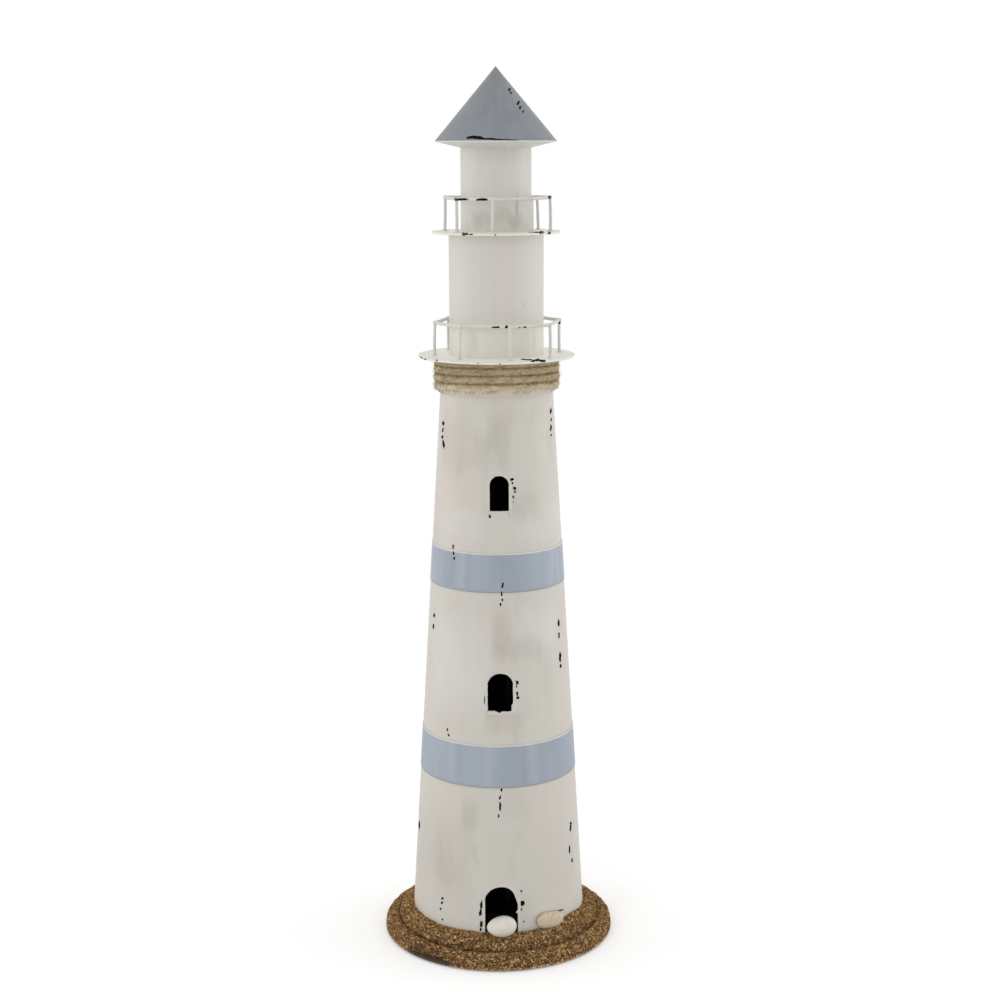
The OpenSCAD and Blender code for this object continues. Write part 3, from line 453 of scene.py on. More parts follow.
# fitted to the photograph: place in mm, angles in degrees, focal length and frame in pixels
view = {"place": (-44.8, -1281.7, 574.1), "pitch": 10.9, "yaw": -2.0, "roll": -0.2,
        "focal": 1810, "wide": 994, "tall": 995, "near": 0.02, "far": 20}
camera = bpy.data.objects.new("camera", bpy.data.cameras.new("camera"))
bpy.context.collection.objects.link(camera)
camera.data.sensor_width = 36
camera.data.sensor_fit = "HORIZONTAL"
camera.data.lens = camera.data.sensor_width * view["focal"] / view["wide"]
camera.data.clip_start = view["near"]
camera.data.clip_end = view["far"]
turn = (Matrix.Rotation(math.radians(view["yaw"]), 4, "Z")
        @ Matrix.Rotation(math.radians(90 - view["pitch"]), 4, "X")
        @ Matrix.Rotation(math.radians(view["roll"]), 4, "Z"))
camera.matrix_world = Matrix.Translation(Vector(view["place"]) * mm) @ turn
bpy.context.scene.camera = camera


def sightLine(across, down):
    # from the camera through a point of the photograph's frame
    aim = Vector(((across - view["wide"] / 2) / view["focal"],
                  (view["tall"] / 2 - down) / view["focal"], -1.0))
    return Vector(view["place"]) * mm, (turn.to_3x3() @ aim).normalized()


def build(name, points, faces, finish, slot=None, body="lighthouse", smooth=True):
    # points in millimetres
    mesh = bpy.data.meshes.new(name)
    mesh.from_pydata((np.asarray(points, dtype=float) * mm).tolist(), [], faces)
    if smooth:
        mesh.shade_smooth()
    mesh.materials.append(finish)
    piece = bpy.data.objects.new(name, mesh)
    bpy.context.collection.objects.link(piece)
    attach(piece, body)
    return piece


class Bits:
    # gathers many small closed solids into one mesh
    def __init__(self):
        self.points, self.faces, self.count = [], [], 0

    def add(self, points, faces):
        points = np.asarray(points, dtype=float)
        self.points.append(points)
        self.faces += [tuple(i + self.count for i in face) for face in faces]
        self.count += len(points)

    def build(self, name, finish, **how):
        return build(name, np.concatenate(self.points), self.faces, finish, **how)


def unit(vector):
    return vector / np.maximum(np.linalg.norm(vector, axis=-1, keepdims=True), 1e-9)


def outAndAcross(turnDeg):
    a = math.radians(turnDeg)
    return np.array([math.cos(a), math.sin(a), 0]), np.array([-math.sin(a), math.cos(a), 0])


def capFaces(tip, start, sides, turned=False):
    # triangles between one point and a ring of points
    return [(tip, start + (s + 1) % sides, start + s) if turned else (tip, start + s, start + (s + 1) % sides)
            for s in range(sides)]


def ringFaces(rings, sides, start=0, closed=False, turned=False):
    # quads between each ring of points and the next
    faces = []
    for i in range(rings if closed else rings - 1):
        low, high = start + i * sides, start + (i + 1) % rings * sides
        for s in range(sides):
            t = (s + 1) % sides
            faces.append((low + s, low + t, high + t, high + s) if turned
                         else (low + s, high + s, high + t, low + t))
    return faces


def sweep(path, reach, sides=12, up=(0, 0, 1), closed=False):
    # a tube along a path; reach(i, angle) is its radius there
    path = np.asarray(path, dtype=float)
    count = len(path)
    if closed:
        along = unit(np.roll(path, -1, axis=0) - np.roll(path, 1, axis=0))
    else:
        along = unit(np.gradient(path, axis=0))
    side = unit(np.cross(along, np.array(up, dtype=float)))
    rise = np.cross(side, along)
    points = []
    for i in range(count):
        for s in range(sides):
            a = 2 * math.pi * s / sides
            points.append(path[i] + reach(i, a) * (math.cos(a) * side[i] + math.sin(a) * rise[i]))
    faces = ringFaces(count, sides, closed=closed)
    if not closed:
        faces.append(tuple(range(sides)))
        faces.append(tuple(reversed(range((count - 1) * sides, count * sides))))
    return points, faces


def ball(centre, size, dice, lumps=0.0, rings=7, sides=12):
    # a closed lumpy ball; size is its three half widths
    points = [(0, 0, -1)]
    for i in range(1, rings):
        tilt = math.pi * i / rings
        points += [(math.sin(tilt) * math.cos(2 * math.pi * s / sides),
                    math.sin(tilt) * math.sin(2 * math.pi * s / sides), -math.cos(tilt))
                   for s in range(sides)]
    points.append((0, 0, 1))
    points = np.array(points)
    points = points * (1 + lumps * (dice.random((len(points), 1)) - 0.5))
    faces = capFaces(0, 1, sides, turned=True) + ringFaces(rings - 1, sides, 1, turned=True)
    faces += capFaces(len(points) - 1, 1 + (rings - 2) * sides, sides)
    return points * np.array(size) + np.array(centre), faces


def ripple(x, y, z, scale=1.0):
    return noise.noise(Vector((x, y, z)) * scale)


print("sand")


def sandFinish():
    f = Finish("sandGrains", Roughness=0.85, Specular_IOR_Level=0.3)
    place = f.place()
    damp = f.cloud(place, 60, 3)
    x, y, z, reach = f.fromAxis(place)
    fromCrease = ((reach - crease[0] * mm) ** 2 + (z - crease[1] * mm) ** 2) ** 0.5
    # painted shade: a dark line where the two rings of sand meet, and a darker band a few mm round it, where
    # the inner ring overhangs the crease
    creaseShade = 1 - f.step(fromCrease + 0.0012 * (damp - 0.5), 0.0007, 0.0027)
    wall = 1 - f.step(fromCrease, 0.001, 0.0048)
    tone = f.mix(f.step(damp, 0.5, 0.8) * 0.25, grainTone(f, place), rgb(112, 80, 46))
    tone = f.mix(wall * 0.40, tone, rgb(60, 41, 22))
    f.use("Base Color", f.mix(creaseShade * 0.85, tone, rgb(40, 26, 12)))
    f.bump(f.cells(place, 1600), 0.0003)
    return f.material


def heapProfile():
    r1, z1, size1 = sand["inner"]
    r2, z2, size2 = sand["outer"]
    line = [(sand["hollowR"], z1 + size1 - 0.4)]
    line += [(r1 + size1 * math.sin(math.radians(a)), z1 + size1 * math.cos(math.radians(a)))
             for a in range(0, 103, 6)]
    line += [(r2 + size2 * math.cos(math.radians(a)), z2 + size2 * math.sin(math.radians(a)))
             for a in range(132, -3, -6)]
    return np.array(line + [(plateR - 0.7, 2.75)])


profile = heapProfile()
crease = profile[18] * 0.5 + profile[19] * 0.5    # where the two rings of sand meet
slope = unit(np.gradient(profile, axis=0))
lift = np.stack([-slope[:, 1], slope[:, 0]], axis=1)
lift *= np.sign(lift[:, 1:2] + lift[:, 0:1] + 1e-6)


def nearness(turnDeg, kind):
    # 1 at the bare place or the mound, and 0 away from it
    away = (turnDeg - sand[kind + "Place"] + 180) % 360 - 180
    return math.exp(-(away / sand[kind + "Span"]) ** 4)


def heapPoint(k, turnDeg, lift2=0.0):
    # k is the place along the profile, counted in its points
    i = min(int(k), len(profile) - 2)
    share = k - i
    r, z = profile[i] * (1 - share) + profile[i + 1] * share
    n = lift[i] * (1 - share) + lift[i + 1] * share
    a = math.radians(turnDeg)
    bump = sand["lumps"] * ripple(r * math.cos(a), r * math.sin(a), z, 0.16)
    bump += 0.35 * ripple(r * math.cos(a), r * math.sin(a), z, 0.6)
    z += sand["moundHigh"] * nearness(turnDeg, "mound") * max(0.0, 1 - k / 14)
    if r > plateR - 6:
        worn = nearness(turnDeg, "bare")
        r -= worn * (r - plateR + 7) * 0.5
        bump -= 0.4 * worn
    r, z = r + n[0] * (bump + lift2), max(z + n[1] * (bump + lift2), sand["floor"])
    return np.array([r * math.cos(a), r * math.sin(a), z]), n


def makeHeap():
    # under the grains: the heap's skin all round, closed by its floor and the wall inside
    turns, rows = 360, len(profile)
    grid = [heapPoint(k, 360 * j / turns)[0] for j in range(turns) for k in range(rows)]
    base = len(grid)
    faces = []
    for j in range(turns):
        a, n = 2 * math.pi * j / turns, (j + 1) % turns
        grid.append(np.array([sand["hollowR"] * math.cos(a), sand["hollowR"] * math.sin(a), sand["floor"]]))
        faces += [(j * rows + k, j * rows + k + 1, n * rows + k + 1, n * rows + k) for k in range(rows - 1)]
        faces.append((j * rows, n * rows, base + n, base + j))
        faces.append((j * rows + rows - 1, base + j, base + n, n * rows + rows - 1))
    # the skin under the grains is dark brown, painted shade for the gaps between the grains
    return build("sandHeap", grid, faces, speckled("sandGapShade", (92, 66, 40), (60, 42, 26), 500, 0.9, 0.0004),
                 slot="sand")


sandHeap = makeHeap()
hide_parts("sand_bed")

grainPoints = np.array([(1, 0, 0), (-1, 0, 0), (0, 1, 0), (0, -1, 0), (0, 0, 1), (0, 0, -1)], float)
grainFaces = [(0, 2, 4), (2, 1, 4), (1, 3, 4), (3, 0, 4), (2, 0, 5), (1, 2, 5), (3, 1, 5), (0, 3, 5)]


def scatterGrains():
    dice = np.random.default_rng(sand["seed"])
    count = sand["grains"]
    lengths = np.linalg.norm(np.diff(profile, axis=0), axis=1)
    share = np.cumsum(lengths) / lengths.sum()
    pick = dice.random(count)
    segment = np.searchsorted(share, pick)
    centres, ups = [], []
    for i in range(count):
        turnDeg = dice.random() * 360 - 180
        k = segment[i] + dice.random()
        if k > len(profile) - 12 and nearness(turnDeg, "bare") * (1 - sand["bareGrains"]) > dice.random():
            continue
        spot, n = heapPoint(k, turnDeg, 0.15 + 0.3 * dice.random())
        a = math.radians(turnDeg)
        out = math.hypot(spot[0], spot[1])
        if out > plateR - 0.5:
            spot[:2] *= (plateR - 0.5) / out
        spot[2] = max(spot[2], sand["grainLow"])
        if spot[2] > sand["wallFoot"] and out < towerR(spot[2]) + 0.1:
            if abs(spot[0]) > sand["doorHalf"] or spot[1] > 0:
                spot[:2] *= (towerR(spot[2]) + 0.25) / out
        centres.append(spot)
        ups.append((n[0] * math.cos(a), n[0] * math.sin(a), n[1]))
    centres, ups = np.array(centres), unit(np.array(ups))
    count = len(centres)
    ups = unit(ups + 0.55 * dice.normal(size=(count, 3)))
    across = unit(np.cross(ups, dice.normal(size=(count, 3))))
    third = np.cross(ups, across)
    span = [dice.uniform(*sand[key], size=(count, 1, 1)) for key in ("long", "wide", "thick")]
    shape = grainPoints[None] * (1 + 0.5 * (dice.random((count, 6, 1)) - 0.5))
    points = (centres[:, None] + shape[..., 0:1] * span[0] * across[:, None]
              + shape[..., 1:2] * span[1] * third[:, None] + shape[..., 2:3] * span[2] * ups[:, None])
    points[..., 2] = np.maximum(points[..., 2], sand["cornerLow"])
    out = np.hypot(points[..., 0], points[..., 1])[..., None]
    points[..., :2] *= np.minimum(1, (plateR - 0.02) / out)
    faces = (np.array(grainFaces)[None] + 6 * np.arange(count)[:, None, None]).reshape(-1, 3)
    return points.reshape(-1, 3), faces


points, faces = scatterGrains()
sandGrains = build("sandGrains", points, faces.tolist(), sandFinish(), slot="sand", smooth=False)
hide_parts("sand_bed")


print("rope")
rope = {"seed": 5, "axisR": 41.5, "low": 408.5, "pitch": 5.6, "thick": 3.0, "square": 2.8, "lift": 0.8,
        "front": (2.5, 0.3), "first": 112.5, "begin": 1 / 24, "turns": 3.83, "rings": 320, "sides": 26,
        "plies": 3, "lay": 13.0, "neckR": 39.25, "top": 429.5,
        "seat": 404.7, "seatR": 40.0, "seatTurns": 1.02956, "seatEase": 40, "hairR": 40.4,
        "strands": 2600, "fuzz": 3600, "tufts": 1300, "bridges": 3000, "fringe": 1700,
        "dusty": (410.0, 414.8), "whitened": (406.2, 409.8)}
dice = np.random.default_rng(rope["seed"])


def ropePlace(turnCount):
    whole = math.floor(turnCount)
    part = turnCount - whole
    climb = max(0.0, (part - 0.875) / 0.125)
    climb = climb * climb * (3 - 2 * climb)
    a = math.radians(rope["first"] + 360 * turnCount)
    z = rope["low"] + rope["pitch"] * (whole + 0.3 * part + 0.7 * climb)
    z += rope["lift"] * min(1, 0.3 + 0.28 * turnCount)
    z += max(0.0, -math.sin(a)) * (rope["front"][0] - rope["front"][1] * turnCount)    # higher in front
    z += 0.42 * ripple(math.cos(a) * 3, math.sin(a) * 3, whole * 5.0, 2.2)
    r = rope["axisR"] + 0.2 * ripple(math.cos(a) * 4, math.sin(a) * 4, whole * 7.0 + 3, 1.3)
    return np.array([r * math.cos(a), r * math.sin(a), z])


steps = int(rope["turns"] * rope["rings"])
ropeLine = np.array([ropePlace(rope["begin"] + (rope["turns"] - rope["begin"]) * i / steps)
                     for i in range(steps + 1)])
ropeRun = np.concatenate([[0], np.cumsum(np.linalg.norm(np.diff(ropeLine, axis=0), axis=1))])


def ropeReach(i, a):
    lobe = abs(math.cos(rope["plies"] / 2 * (a + 2 * math.pi * ropeRun[i] / rope["lay"] / 1.5)))
    fray = ripple(ropeRun[i] * 0.9, math.cos(a) * 1.5, math.sin(a) * 1.5)
    fray2 = ripple(ropeRun[i] * 2.4, math.cos(a) * 4, math.sin(a) * 4 + 9)
    ends = min(1.0, (min(ropeRun[i], ropeRun[-1] - ropeRun[i]) + 0.6) / 1.6)
    n = rope["square"]
    pressed = (abs(math.cos(a)) ** n + abs(math.sin(a)) ** n) ** (-1 / n)    # neighbours flatten each other
    return rope["thick"] * pressed * (0.86 + 0.06 * lobe + 0.07 * fray + 0.11 * fray2) * ends ** 0.5


points, faces = sweep(ropeLine, ropeReach, rope["sides"])
points = np.array(points)


def settleLowTurn(points):
    # the underside of the lowest turn spreads down onto the top of the tower
    last = rope["seatTurns"] * rope["rings"]
    for i in range(int(last)):
        fade = min(1.0, (last - i) / rope["seatEase"])
        gap = max(0.0, ropeLine[i][2] - rope["thick"] * 0.95 - rope["seat"]) * fade
        for s in range(rope["sides"]):
            depth = max(0.0, -math.sin(2 * math.pi * s / rope["sides"]))
            p = points[i * rope["sides"] + s]
            p[2] -= gap * depth ** 1.6
            out = math.hypot(p[0], p[1])
            share = depth ** 3 * fade
            p[:2] *= (out * (1 - share) + (rope["seatR"] + 0.15 * ripple(i * 0.11, s, 2.0)) * share) / out


settleLowTurn(points)
points[:, 2] = np.minimum(points[:, 2], rope["top"])    # the disc presses on the top turn
flat = np.linalg.norm(points[:, :2], axis=1, keepdims=True)
points[:, :2] *= np.maximum(flat, rope["neckR"]) / flat    # and the neck on the inside
sisal = sisalFinish()
ropeCoil = build("ropeCoil", points, faces, sisal, slot="sisal")
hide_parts("rope_collar")

ropeAlong = unit(np.gradient(ropeLine, axis=0))
ropeSide = unit(np.cross(ropeAlong, np.array([0, 0, 1.0])))
ropeUp = np.cross(ropeSide, ropeAlong)


def ropeSkin(i, a, share):
    # a point just under the rope's surface, and the way out from there
    out = math.cos(a) * ropeSide[i] + math.sin(a) * ropeUp[i]
    return ropeLine[i] + ropeReach(i, a) * share * out, out


def addHair(bits, path, thick, taper, up):
    bits.add(*sweep(path, lambda k, angle: thick * (1 - taper * k), 3, up=tuple(up)))


def fibre(bits, start, length, lean, lay, bend, thick):
    # one thin hair that starts on the rope's surface
    i = min(max(int(start), 2), steps - 2)
    a = dice.uniform(-1.9, 1.9)
    spot, out = ropeSkin(i, a, 0.99)
    cross = -math.sin(a) * ropeSide[i] + math.cos(a) * ropeUp[i]
    ahead = ropeAlong[i] * (1 if dice.random() < 0.5 else -1)
    path = []
    for t in (0, 0.33, 0.66, 1.0):
        curl = bend * t * t * length
        path.append(spot + ahead * length * t + cross * (lay * length * t + curl * 0.4)
                    + out * (lean * length * t - curl * 0.3 * lean))
    path = np.array(path)
    if path[:, 2].max() > rope["top"] - 0.1 or np.hypot(path[:, 0], path[:, 1]).min() < rope["hairR"]:
        return
    addHair(bits, path, thick, 0.22, out)


def bridge(bits):
    # a hair that runs from one turn across the groove to the next
    i = int(dice.uniform(2, steps - 2))
    edge = dice.choice((-1, 1))
    clump = ripple(ropeRun[i] * 0.33, edge * 2.0, i // rope["rings"])
    if clump < dice.uniform(-0.25, 0.2) + (0.15 if i > 2.9 * rope["rings"] else 0):
        return
    a = edge * dice.uniform(0.5, 1.15)
    spot = ropeSkin(i, a, 0.97)[0]
    outward = np.array([spot[0], spot[1], 0.0]) / math.hypot(spot[0], spot[1])
    length, drift, bow = dice.uniform(1.2, 3.4), dice.uniform(-1.2, 1.2), dice.uniform(0.05, 0.45)
    path = np.array([spot + np.array([0, 0, edge * length * t]) + ropeAlong[i] * drift * length * t
                     + outward * bow * math.sin(math.pi * t) for t in (0, 0.33, 0.66, 1.0)])
    if path[:, 2].max() > rope["top"] - 0.1 or path[:, 2].min() < tower["top"] + 0.1:
        return
    addHair(bits, path, dice.uniform(0.12, 0.3), 0.15, outward)


def fringe(bits):
    # short hairs that hang from the lowest turn and lie on the tower
    i = int(dice.uniform(2, 0.97 * rope["rings"]))
    a = dice.uniform(-1.75, -0.9)
    spot = ropeSkin(i, a, 0.96)[0]
    outward = unit(np.array([spot[0], spot[1], 0.0]))
    low = spot[2] - dice.uniform(0.4, 2.6)
    end = outward * (towerR(min(low, tower["top"])) + dice.uniform(0.1, 0.5)) + np.array([0, 0, low])
    end += ropeAlong[i] * dice.uniform(-1.2, 1.2)
    path = np.array([spot * (1 - t) + end * t + outward * 0.3 * math.sin(math.pi * t) for t in (0, 0.5, 1)])
    addHair(bits, path, dice.uniform(0.09, 0.2), 0.3, outward)


hairs = Bits()
for n in range(rope["strands"]):
    fibre(hairs, dice.uniform(0, steps), dice.uniform(3, 8), 0.015, dice.uniform(-0.5, -0.2),
          dice.uniform(-0.1, 0.1), dice.uniform(0.09, 0.17))
for n in range(rope["fuzz"]):
    fibre(hairs, dice.uniform(0, steps), dice.uniform(0.8, 3.0), dice.uniform(0.2, 0.85),
          dice.uniform(-0.9, 0.9), dice.uniform(-0.7, 0.7), dice.uniform(0.04, 0.08))
for n in range(rope["tufts"]):
    fibre(hairs, dice.uniform(0, steps), dice.uniform(1.8, 5.0), dice.uniform(0.02, 0.2),
          dice.uniform(-0.9, 0.7), dice.uniform(-0.3, 0.3), dice.uniform(0.14, 0.27))
for n in range(rope["bridges"]):
    bridge(hairs)
for n in range(rope["fringe"]):
    fringe(hairs)
ropeFibres = hairs.build("ropeFibres", sisal, slot="sisal")
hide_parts("rope_collar")


print("railings")
railings = {"lower": {"reach": 44.8, "turn": 8.5, "foot": 431.1, "rail": 454.17, "seed": 21, "aside": 0.8,
                      "nudge": {1: -1.4, 5: -2.5, 7: -0.5}},
            "upper": {"reach": 36.8, "turn": -7.0, "foot": 517.6, "rail": 540.67, "seed": 22, "aside": 1.0,
                      "nudge": {}}}
wireThick = {"post": 1.05, "rail": 1.2, "lean": 0.45, "crook": 0.2, "bead": 1.55, "weld": (1.75, 1.75, 0.85)}


def railing(name, size):
    dice = np.random.default_rng(size["seed"])
    posts, rails = Bits(), Bits()
    corners = []
    for i in range(8):
        out, across = outAndAcross(size["turn"] - 90 + 45 * i + size["nudge"].get(i, 0))
        corner = out * size["reach"] + np.array([size["aside"], 0, size["rail"] + dice.uniform(-0.3, 0.3)])
        corners.append(corner)
        foot = (out * (size["reach"] + wireThick["lean"] * dice.uniform(0.2, 1.6))
                + across * dice.uniform(-0.7, 0.7) + np.array([size["aside"], 0, size["foot"]]))
        bow = out * dice.uniform(-0.25, 0.3) + across * dice.uniform(-0.25, 0.25)
        path = [foot * (1 - t) + corner * t + bow * math.sin(math.pi * t) for t in np.linspace(0, 1, 15)]
        posts.add(*sweep(path, lambda k, angle: wireThick["post"]
                         * (1 + 0.09 * ripple(k * 0.8, i * 3.1, angle)), 14, up=tuple(out)))
        posts.add(*ball(foot + np.array([0, 0, 0.35]), wireThick["weld"], dice, 0.16))
        rails.add(*ball(corner, (wireThick["bead"],) * 3, dice, 0.12))
    loop = []
    for i in range(8):
        start, end = corners[i], corners[(i + 1) % 8]
        bow = dice.uniform(-wireThick["crook"], wireThick["crook"], 3)
        loop += [start * (1 - t) + end * t + bow * math.sin(math.pi * t) for t in np.linspace(0, 0.94, 15)]
    loop = np.array(loop)
    loop = (np.roll(loop, 1, axis=0) + 2 * loop + np.roll(loop, -1, axis=0)) / 4
    rails.add(*sweep(loop, lambda k, angle: wireThick["rail"]
                     * (1 + 0.08 * ripple(k * 0.7, angle, 5.0)), 14, closed=True))
    postPiece = posts.build(name + "Posts", wirePaint, slot="white_paint")
    railPiece = rails.build(name + "Rail", wirePaint, slot="white_paint")
    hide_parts(name + "_posts")
    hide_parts(name + "_handrail")
    return postPiece, railPiece


wirePaint = speckled("wirePaint", (211, 209, 202), (204, 202, 195), 190, 0.5, 0.00003)
lowerPosts, lowerRail = railing("lower", railings["lower"])
upperPosts, upperRail = railing("upper", railings["upper"])


print("openings")
openings = {
    "door": {"half": 11.8, "sill": 16.0, "top": 54.6, "rise": 8.5, "seed": 31, "rag": 0.12, "open": True,
             "slant": 1.8, "nib": (35.3, 1.4)},
    "lowerWindow": {"half": 9.15, "sill": 181.7, "top": 210.7, "rise": 7.4, "seed": 32, "rag": 0.3,
                    "flap": 1.7, "shelf": (188.2, 1.1)},
    "upperWindow": {"half": 6.8, "sill": 325.8, "top": 350.8, "rise": 6.4, "seed": 33, "rag": 0.2},
}
trim = {"wide": 1.7, "proud": 0.38, "sunk": 0.35}
trimPaint = speckled("trimPaint", (207, 204, 196), (199, 195, 187), 240, 0.45, 0.0001)


def onTower(x, z, rise):
    r = towerR(z) + rise
    return np.array([x, -math.sqrt(r * r - x * x), z])


def archLine(size, step=0.45):
    half, rise = size["half"], size["rise"]
    bow = (half * half + rise * rise) / (2 * rise)
    spring = size["top"] - rise
    reach = math.asin(half / bow)
    sides = int((spring - size["sill"]) / step)
    line = [(-half, size["sill"] + (spring - size["sill"]) * i / sides) for i in range(sides)]
    arcs = 40
    for i in range(arcs + 1):
        a = -reach + 2 * reach * i / arcs
        line.append((bow * math.sin(a), size["top"] - bow + bow * math.cos(a)))
    line += [(half, spring - (spring - size["sill"]) * (i + 1) / sides) for i in range(sides)]
    if not size.get("open"):
        floor = int(2 * half / step)
        line += [(half - 2 * half * (i + 1) / floor, size["sill"]) for i in range(floor - 1)]
    return np.array(line)


def openingTrim(name, node, size):
    dice = np.random.default_rng(size["seed"])
    line = archLine(size)
    closed = not size.get("open")
    if closed:
        along = np.roll(line, -1, axis=0) - np.roll(line, 1, axis=0)
    else:
        along = np.gradient(line, axis=0)
    along = unit(along)
    outward = np.stack([-along[:, 1], along[:, 0]], axis=1)
    points = []
    count, section = len(line), 7
    for i, (x, z) in enumerate(line):
        atSill = closed and z < size["sill"] + 0.4 and abs(x) < size["half"] - 0.3
        jag = size["rag"] * (abs(ripple(x, z, size["seed"], 0.9)) * 1.6 + dice.uniform(0, 0.35))
        curl = 0.0
        if atSill:
            jag += 0.5 * size["rag"] * (1 + ripple(x, 0, size["seed"] + 5, 0.7))
            curl = size.get("flap", 0) * min(1, max(0, -x / size["half"] / 0.4)) ** 1.5    # a bent flap
            jag += curl
        if x > 0 and "slant" in size:
            shoulder = min(1, max(0, (z - size["top"] + 13.6) / 6))
            jag += size["slant"] * (x / size["half"]) ** 3 * shoulder
        if x > 0 and "shelf" in size:
            jag += size["shelf"][1] * min(1, max(0, (size["shelf"][0] - z) / 0.6))
        if x > 0 and "nib" in size:
            jag += size["nib"][1] * math.exp(-((z - size["nib"][0]) / 0.7) ** 2)
        width = trim["wide"] * (1 + 0.22 * ripple(x, z, size["seed"] + 9, 0.35)) * (0.55 if atSill else 1)
        if x > size["half"] - 0.3:
            width *= 1.2
        proud = trim["proud"] * (1 + 0.25 * ripple(x, z, 3.0, 0.6)) + 0.45 * curl
        shape = [(-jag, -trim["sunk"] * 2), (-jag, proud * 0.5), (-jag + 0.3, proud),
                 (width * 0.55, proud * 0.95), (width * 0.9, proud * 0.6), (width, 0.05),
                 (width, -trim["sunk"])]
        for reach, rise in shape:
            p = np.array([x, z]) + outward[i] * reach
            points.append(onTower(p[0], max(p[1], size["sill"] - 2.5), rise))
    faces = ringFaces(count, section, closed=closed, turned=True)
    if not closed:
        faces.append(tuple(reversed(range(section))))
        faces.append(tuple(range((count - 1) * section, count * section)))
    bits = Bits()
    bits.add(points, faces)
    if closed:
        # the strips at the sides run on a little under the sill
        for side in (-1, 1):
            tail = [onTower(side * (size["half"] + 1.0 + 0.1 * k), size["sill"] + 0.5 - k * 0.8, 0.1)
                    for k in range(6)]
            wide = [0.9, 0.9, 0.85, 0.75, 0.55, 0.25]
            bits.add(*sweep(tail, lambda k, angle: wide[k] * (0.5 + 0.5 * abs(math.cos(angle))), 10,
                            up=(0, -1, 0)))
    piece = bits.build(name + "Trim", trimPaint, slot="white_paint")
    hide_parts(node)
    return piece


openingTrim("door", "door_frame", openings["door"])
openingTrim("lowerWindow", "lower_window_frame", openings["lowerWindow"])
openingTrim("upperWindow", "upper_window_frame", openings["upperWindow"])


print("pebble and shell")
pebble = {"centre": (0, -66.2, 26.6), "length": 21.4, "thick": 14.9, "egg": 0.1, "tilt": 6.0}


def makePebble():
    rings, sides = 40, 64
    tilt = math.radians(pebble["tilt"])
    along = np.array([math.cos(tilt), 0, math.sin(tilt)])
    up = np.array([-math.sin(tilt), 0, math.cos(tilt)])
    side = np.cross(up, along)
    centre = np.array(pebble["centre"])
    points = []
    for i in range(rings + 1):
        a = math.pi * i / rings
        t = -math.cos(a)
        reach = pebble["thick"] / 2 * math.sin(a) * (1 + pebble["egg"] * t)
        if i in (0, rings):
            points.append(centre + along * pebble["length"] / 2 * t)
            continue
        for s in range(sides):
            b = 2 * math.pi * s / sides
            spot = math.cos(b) * side + math.sin(b) * up
            p = reach * spot * (1 + 0.02 * ripple(spot[0] + i * 0.03, spot[1], spot[2], 1.2))
            points.append(centre + along * pebble["length"] / 2 * t + p)
    faces = capFaces(0, 1, sides) + ringFaces(rings - 1, sides, 1)
    faces += capFaces(len(points) - 1, 1 + (rings - 2) * sides, sides, turned=True)
    piece = build("whitePebble", points, faces, stone, slot="pebble")
    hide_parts("doorstep_pebble")


makePebble()
shell = {"turn": 34.0, "foot": 18.6, "wide": 24.0, "tall": 12.9, "bulge": 4.7, "ribs": 0.14, "dip": -0.1}


def shellFinish():
    f = Finish("seaShell", Specular_IOR_Level=0.5)
    place = f.place()
    x, y, z = f.split(place)
    line = x * 0.8 - z * 1.0
    bands = f.cloud(f.join(line * 6.0, x * 0.4, z * 0.4), 150, 3)
    blotch = f.cloud(place, 260, 3)
    tone = f.mix(f.step(bands, 0.40, 0.66), rgb(201, 185, 160), rgb(178, 160, 132))
    tone = f.mix(f.step(blotch, 0.5, 0.7) * 0.5, tone, rgb(208, 196, 174))
    f.use("Base Color", tone)
    f.use("Roughness", 0.4 + 0.2 * (bands - 0.5))
    f.bump(bands, 0.0001)
    return f.material


def makeShell():
    out, across = outAndAcross(shell["turn"] - 90)
    lean = math.atan(tower["taper"])
    up = np.array([0, 0, 1]) * math.cos(lean) - out * math.sin(lean)
    proud = out * math.cos(lean) + np.array([0, 0, 1]) * math.sin(lean)
    heel = out * (towerR(shell["foot"]) + 0.05) + np.array([0, 0, shell["foot"]])
    rings, sides = 34, 110
    points = []
    for i in range(1, rings + 1):
        t = i / rings
        for s in range(sides):
            b = 2 * math.pi * s / sides
            square = (abs(math.cos(b)) ** 2.6 + abs(math.sin(b)) ** 2.6) ** (-1 / 2.6)
            y = shell["wide"] / 2 * t * square * math.cos(b)
            z = shell["tall"] / 2 * (1 + t * square * math.sin(b)) + shell["dip"] * y
            rise = shell["bulge"] * (1 - t ** 2.7) ** 0.62
            fan = math.atan2(y + 15, z + 14)
            rib = shell["ribs"] * math.sin(fan * 46) * min(1, rise)
            grow = 0.1 * math.sin((y * 0.62 - z * 0.55) * 3.1 + 1.3 * ripple(y, z, 4, 0.2)) * min(1, rise)
            points.append(heel + across * y + up * z + proud * (0.1 + max(0.0, rise + rib + grow)))
    top = len(points)
    points.append(heel + up * shell["tall"] / 2 + proud * (0.1 + shell["bulge"]))
    points.append(heel + up * shell["tall"] / 2 - proud * 0.05)
    faces = ringFaces(rings, sides) + capFaces(top, 0, sides)
    faces += capFaces(top + 1, (rings - 1) * sides, sides, turned=True)
    piece = build("clamShell", points, faces, shellFinish(), slot="shell")
    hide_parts("sea_shell")


makeShell()


print("springs")
springs = {"coils": 6.5, "wide": 4.0, "narrow": 2.8, "wire": 0.35, "long": 5.6, "seat": 28.35, "height": 11.1,
           "pitch": 15.6}


